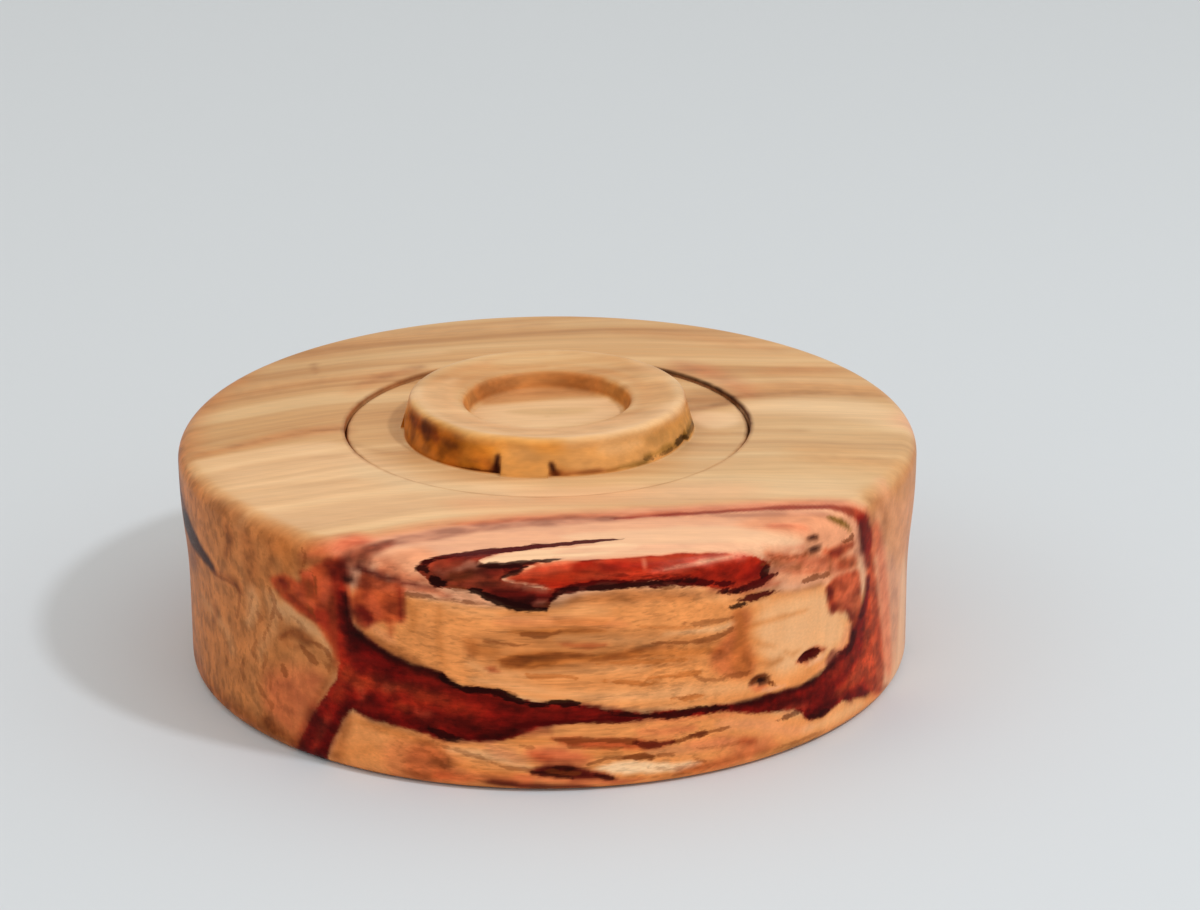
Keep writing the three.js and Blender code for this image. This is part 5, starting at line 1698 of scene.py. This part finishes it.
# Ranges of a noise and, with four numbers, the tones or values that its ends become
MIDDLE_RANGE = (0.3, 0.5)
PALE_RANGE = (0.45, 0.7)
BLOTCH_RANGE = (0.36, 0.64)
LINE_TONES = (0.3, 0.65, 0.95, 1.03)
FIBRE_TONES = (0.3, 0.7, 0.965, 1.03)
STREAK_TONES = (0.35, 0.65, 0.92, 1.05)
VEIN_TONES = (0.5, 0.66, 1.03, 0.78)
SPECK_TONES = (0.3, 0.7, 0.975, 1.02)
FLECK_TONES = (0.47, 0.63, 1.05, 0.76)
WOOD_ROUGHNESS = (0.2, 0.8, 0.3, 0.42)

# Ranges of the surface's direction: upward for the wall, and along the grain for the rest
WALL_RANGE = (0.8, 0.4)
FRONT_RANGE = (0.6, 0.3)
LEFT_RANGE = (-0.45, -0.85)
END_SHARES = (0.55, 0.95, 0, 0.6)

WOOD_SHINE = 0.04
FIBRE_BUMP = 0.1

# Half the width over which a coat's edge fades, and the ends of its fine mottle
COAT_LOOKS = {BAND: (0.4, 0.76, 1.3), FLAME: (0.18, 0.86, 1.14)}


def grain_places(graph):
    """Places in the wood in millimetres, its length, and distance from the pith."""
    places = graph.node("ShaderNodeTexCoord").outputs["Object"]
    in_mm = graph.stretched(places, (1 / MM, 1 / MM, 1 / MM))
    x, y, z = graph.node("ShaderNodeSeparateXYZ", {0: in_mm}).outputs
    past = graph.maths("MAXIMUM", graph.maths("SUBTRACT", BEND_FROM, x), 0)
    lift = graph.maths("MULTIPLY", graph.maths("POWER", past, 2), BEND)
    across = graph.maths("SUBTRACT", graph.maths("ADD", y, lift), PITH_Y)
    above = graph.maths("SUBTRACT", z, PITH_Z)
    squares = [graph.maths("POWER", offset, 2) for offset in (across, above)]
    distance = graph.maths("SQRT", graph.maths("ADD", *squares))
    wander = graph.noise(graph.drawn_out(in_mm, WANDER_LENGTH, WANDER_WIDTH))
    ring = graph.maths("MULTIPLY_ADD", wander, WANDER, distance)
    return in_mm, x, ring


def layered(graph, x, ring, length, width, looks):
    """Noise in layers along the grain."""
    parts = {0: graph.maths("DIVIDE", x, length), 1: graph.maths("DIVIDE", ring, width)}
    place = graph.node("ShaderNodeCombineXYZ", parts).outputs[0]
    return graph.noise(place, *looks)


def bare_wood(graph, in_mm, x, ring):
    """Colour of the plain wood, the tone of its lines and fibres, and the fibres."""
    broad = layered(graph, x, ring, BROAD_LENGTH, BROAD_WIDTH, BROAD_NOISE)
    lines = layered(graph, x, ring, LINE_LENGTH, LINE_WIDTH, LINE_NOISE)
    share = graph.between(broad, *MIDDLE_RANGE)
    colour = graph.mix(share, linear(BROWN_WOOD), linear(MIDDLE_WOOD))
    share = graph.between(broad, *PALE_RANGE)
    colour = graph.mix(share, colour, linear(PALE_WOOD))
    fibre = graph.noise(graph.drawn_out(in_mm, FIBRE_LENGTH, FIBRE_WIDTH))
    tone = graph.between(lines, *LINE_TONES)
    tone = graph.maths("MULTIPLY", tone, graph.between(fibre, *FIBRE_TONES))
    return colour, tone, fibre


def side_tone(graph, in_mm, tone, facing, upward):
    """Streaks, veins and specks on the side, and flecks where the grain ends at the left."""
    flat = {0: graph.stretched(in_mm, (1, 1, 0))}
    radius = graph.node("ShaderNodeVectorMath", flat, operation="LENGTH").outputs[1]
    wall = graph.between(graph.maths("ABSOLUTE", upward), *WALL_RANGE)
    outer = graph.between(radius, KNOB_RADIUS, MOUTH_RADIUS)
    wall = graph.maths("MULTIPLY", wall, outer)
    along = graph.between(graph.maths("ABSOLUTE", facing), *FRONT_RANGE)
    front = graph.maths("MULTIPLY", wall, along)
    left = graph.maths("MULTIPLY", graph.between(facing, *LEFT_RANGE), outer)
    streaks = graph.noise(graph.drawn_out(in_mm, STREAK_LENGTH, STREAK_WIDTH))
    streaks = graph.between(streaks, *STREAK_TONES)
    veins = graph.noise(graph.drawn_out(in_mm, VEIN_LENGTH, VEIN_WIDTH), *VEIN_NOISE)
    veins = graph.between(veins, *VEIN_TONES)
    specks = graph.noise(graph.drawn_out(in_mm, SPECK_LENGTH, SPECK_WIDTH))
    specks = graph.between(specks, *SPECK_TONES)
    fleck_scale = (1 / FLECK_DEPTH, 1 / FLECK_WIDTH, 1 / FLECK_HEIGHT)
    flecks = graph.noise(graph.stretched(in_mm, fleck_scale), *FLECK_NOISE)
    flecks = graph.between(flecks, *FLECK_TONES)
    layers = ((streaks, front), (veins, front), (specks, wall), (flecks, left))
    for lights, share in layers:
        faded = graph.maths("MULTIPLY_ADD", graph.maths("SUBTRACT", lights, 1), share, 1)
        tone = graph.maths("MULTIPLY", tone, faded)
    return tone


def showing(graph, distance, fray, half):
    """How much of a coat or line shows at a distance outside its edge."""
    return graph.between(graph.maths("ADD", distance, fray), half, -half)


def channels(graph, name):
    """The four values of a mesh attribute."""
    kept = graph.node("ShaderNodeAttribute", attribute_name=name)
    parts = graph.node("ShaderNodeSeparateXYZ", {0: kept.outputs["Vector"]})
    return [*parts.outputs, kept.outputs["Alpha"]]


def laid_coats(graph, colour, in_mm):
    """The coats over the plain wood, then the lines, with frayed edges."""
    fray = graph.noise(graph.drawn_out(in_mm, FRAY_LENGTH, FRAY_WIDTH))
    fray = graph.maths("MULTIPLY", graph.maths("SUBTRACT", fray, MEAN_SHARE), FRAY)
    blotches = graph.drawn_out(in_mm, BLOTCH_LENGTH, BLOTCH_WIDTH)
    blotches = graph.noise(blotches, *BLOTCH_NOISE)
    for name in COATS:
        coat = graph.node("ShaderNodeAttribute", attribute_name=name)
        tint, share = coat.outputs["Color"], coat.outputs["Alpha"]
        if name in COAT_LOOKS:
            half, dark, light = COAT_LOOKS[name]
            share = showing(graph, share, fray, half)
            tone = graph.between(blotches, *BLOTCH_RANGE, dark, light)
            tint = graph.mix(1, tint, graph.grey(tone), "MULTIPLY")
        colour = graph.mix(share, colour, tint)
    edges = channels(graph, LINE_EDGE)
    strengths = channels(graph, LINE_STRENGTH)
    for stain, edge, strength in zip(LINE_STAINS, edges, strengths):
        share = graph.maths("MULTIPLY", showing(graph, edge, fray, CRISP_HALF), strength)
        colour = graph.mix(share, colour, linear(STAINS[stain][0]))
    return colour


def wood(name):
    """Lacquered figured wood."""
    graph = Graph(name)
    in_mm, x, ring = grain_places(graph)
    colour, tone, fibre = bare_wood(graph, in_mm, x, ring)
    normal = graph.node("ShaderNodeTexCoord").outputs["Normal"]
    parts = graph.node("ShaderNodeSeparateXYZ", {0: normal}).outputs
    facing, upward = parts["X"], parts["Z"]
    ends = graph.between(graph.maths("ABSOLUTE", facing), *END_SHARES)
    colour = graph.mix(ends, colour, linear(END_WOOD))
    colour = laid_coats(graph, colour, in_mm)
    tone = side_tone(graph, in_mm, tone, facing, upward)
    colour = graph.mix(1, colour, graph.grey(tone), "MULTIPLY")
    shader = graph.shader
    graph.feed(shader.inputs["Base Color"], colour)
    graph.feed(shader.inputs["Roughness"], graph.between(fibre, *WOOD_ROUGHNESS))
    graph.feed(shader.inputs["Specular IOR Level"], WOOD_SHINE)
    inputs = {"Height": fibre, "Strength": FIBRE_BUMP, "Distance": FIBRE_HEIGHT * MM}
    bump = graph.node("ShaderNodeBump", inputs)
    graph.feed(shader.inputs["Normal"], bump.outputs[0])
    return graph.material


def make_body():
    """The body, in place of its CAD node."""
    body = Turning("turned_body", body_outline(), body_columns(), dents=KNOTS)
    body.trim(BAND, "crimson", [BAND_EDGE])
    body.trim(FLAME, "brick", [SPEAR, TONGUE])
    mark_level(body, TOP_MARKS, RIM_HEIGHT, body.height > TOP_FROM)
    mark_side(body, HIDDEN_MARKS)
    mark_seen(body, [GROUND], GROUND_MARKS)
    for marks in (CURL_MARKS, BAND_MARKS, FLAME_MARKS, STREAK_MARKS):
        mark_seen(body, COATS, marks)
    shade_seam(body, MOUTH_RADIUS)
    body.store_coats()
    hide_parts("box_body")
    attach(body.object, "box")
    return body


def make_lid():
    """The lid with its knob, in place of its CAD node."""

    def bitten(profile, height):
        """The rows of the knob that the jaws bite."""
        within = profile < KNOB_RADIUS + FINE_ROW / 2
        return within & (height >= LID_TOP) & (height < KNOB_TOP)

    lid = Turning("turned_lid", lid_outline(), lid_columns(), bitten)
    mark_level(lid, TOP_MARKS, RIM_HEIGHT, lid.height > TOP_FROM)
    in_dish = (lid.profile < DISH_RADIUS) & (lid.height > LID_TOP)
    mark_level(lid, DISH_FLOOR_MARKS, DISH_FLOOR, in_dish)
    stain_and_shade_knob(lid)
    mark_seen(lid, [GROUND], RING_MARKS, KNOB_TOP - LIP_FALL - FINE_ROW)
    mark_seen(lid, [GROUND], KNOB_MARKS, LID_TOP)
    shade_seam(lid, LID_RADIUS)
    lid.store_coats()
    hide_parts("lid")
    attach(lid.object, "lid")
    return lid


# Stage and light, in metres
SWEEP_WIDTH = 4.0
SWEEP_FRONT = -1.6
SWEEP_BACK = 1.0
SWEEP_BEND = 0.6
SWEEP_TOP = 1.8
SWEEP_STEPS = 24
CLOTH = (212, 216, 219)
CLOTH_ROUGHNESS = 0.9
CLOTH_SHINE = 0.1
KEY_DIRECTION = (0.5, -0.36, 0.8)
KEY_DISTANCE = 1.1
KEY_SIZE = 0.1
KEY_POWER = 3.7
KEY_COLOUR = (242, 248, 255)
FILL_DIRECTION = (-0.6, -0.35, 0.72)
FILL_DISTANCE = 1.3
FILL_SIZE = 0.5
FILL_POWER = 0.6
FILL_COLOUR = (255, 255, 255)
SKY_STRENGTH = 0.88
SKY = (249, 247, 243)


def sweep_outline():
    """The sweep's outline from the front, in depth and height."""
    edge = [(SWEEP_FRONT, 0), (SWEEP_BACK, 0)]
    for i in range(1, SWEEP_STEPS + 1):
        angle = math.pi / 2 * i / SWEEP_STEPS
        depth = SWEEP_BACK + SWEEP_BEND * math.sin(angle)
        edge.append((depth, SWEEP_BEND * (1 - math.cos(angle))))
    edge.append((SWEEP_BACK + SWEEP_BEND, SWEEP_TOP))
    return edge


def make_stage():
    """A pale sweep: a floor that bends up into a backdrop."""
    edge = sweep_outline()
    half = SWEEP_WIDTH / 2
    points = [(side * half, y, z) for y, z in edge for side in (-1, 1)]
    faces = [(2 * i, 2 * i + 1, 2 * i + 3, 2 * i + 2) for i in range(len(edge) - 1)]
    mesh = bpy.data.meshes.new("sweep")
    mesh.from_pydata(points, [], faces)
    mesh.polygons.foreach_set("use_smooth", [True] * len(mesh.polygons))
    sweep = bpy.data.objects.new("sweep", mesh)
    bpy.context.scene.collection.objects.link(sweep)
    graph = Graph("sweep_cloth")
    inputs = graph.shader.inputs
    inputs["Base Color"].default_value = linear(CLOTH)
    inputs["Roughness"].default_value = CLOTH_ROUGHNESS
    inputs["Specular IOR Level"].default_value = CLOTH_SHINE
    mesh.materials.append(graph.material)


def make_lamp(name, direction, distance, size, power, colour):
    """A round soft lamp that looks at the object."""
    data = bpy.data.lights.new(name, "AREA")
    data.shape = "DISK"
    data.size = size
    data.energy = power
    data.color = linear(colour)[:3]
    lamp = bpy.data.objects.new(name, data)
    bpy.context.scene.collection.objects.link(lamp)
    way = Vector(direction).normalized()
    lamp.location = way * distance
    lamp.rotation_mode = "QUATERNION"
    lamp.rotation_quaternion = way.to_track_quat("Z", "Y")


def make_light():
    """A soft key from the right, a weak fill from the left and an even sky."""
    make_lamp("key", KEY_DIRECTION, KEY_DISTANCE, KEY_SIZE, KEY_POWER, KEY_COLOUR)
    make_lamp("fill", FILL_DIRECTION, FILL_DISTANCE, FILL_SIZE, FILL_POWER, FILL_COLOUR)
    world = bpy.data.worlds.new("world")
    bpy.context.scene.world = world
    world.use_nodes = True
    sky = world.node_tree.nodes["Background"]
    sky.inputs["Color"].default_value = linear(SKY)
    sky.inputs["Strength"].default_value = SKY_STRENGTH


make_camera()
body_piece = make_body()
lid_piece = make_lid()
wood_finish = wood("figured_wood")
for piece in (body_piece, lid_piece):
    piece.object.data.materials.append(wood_finish)
make_stage()
make_light()
bpy.context.scene.view_settings.view_transform = "Standard"
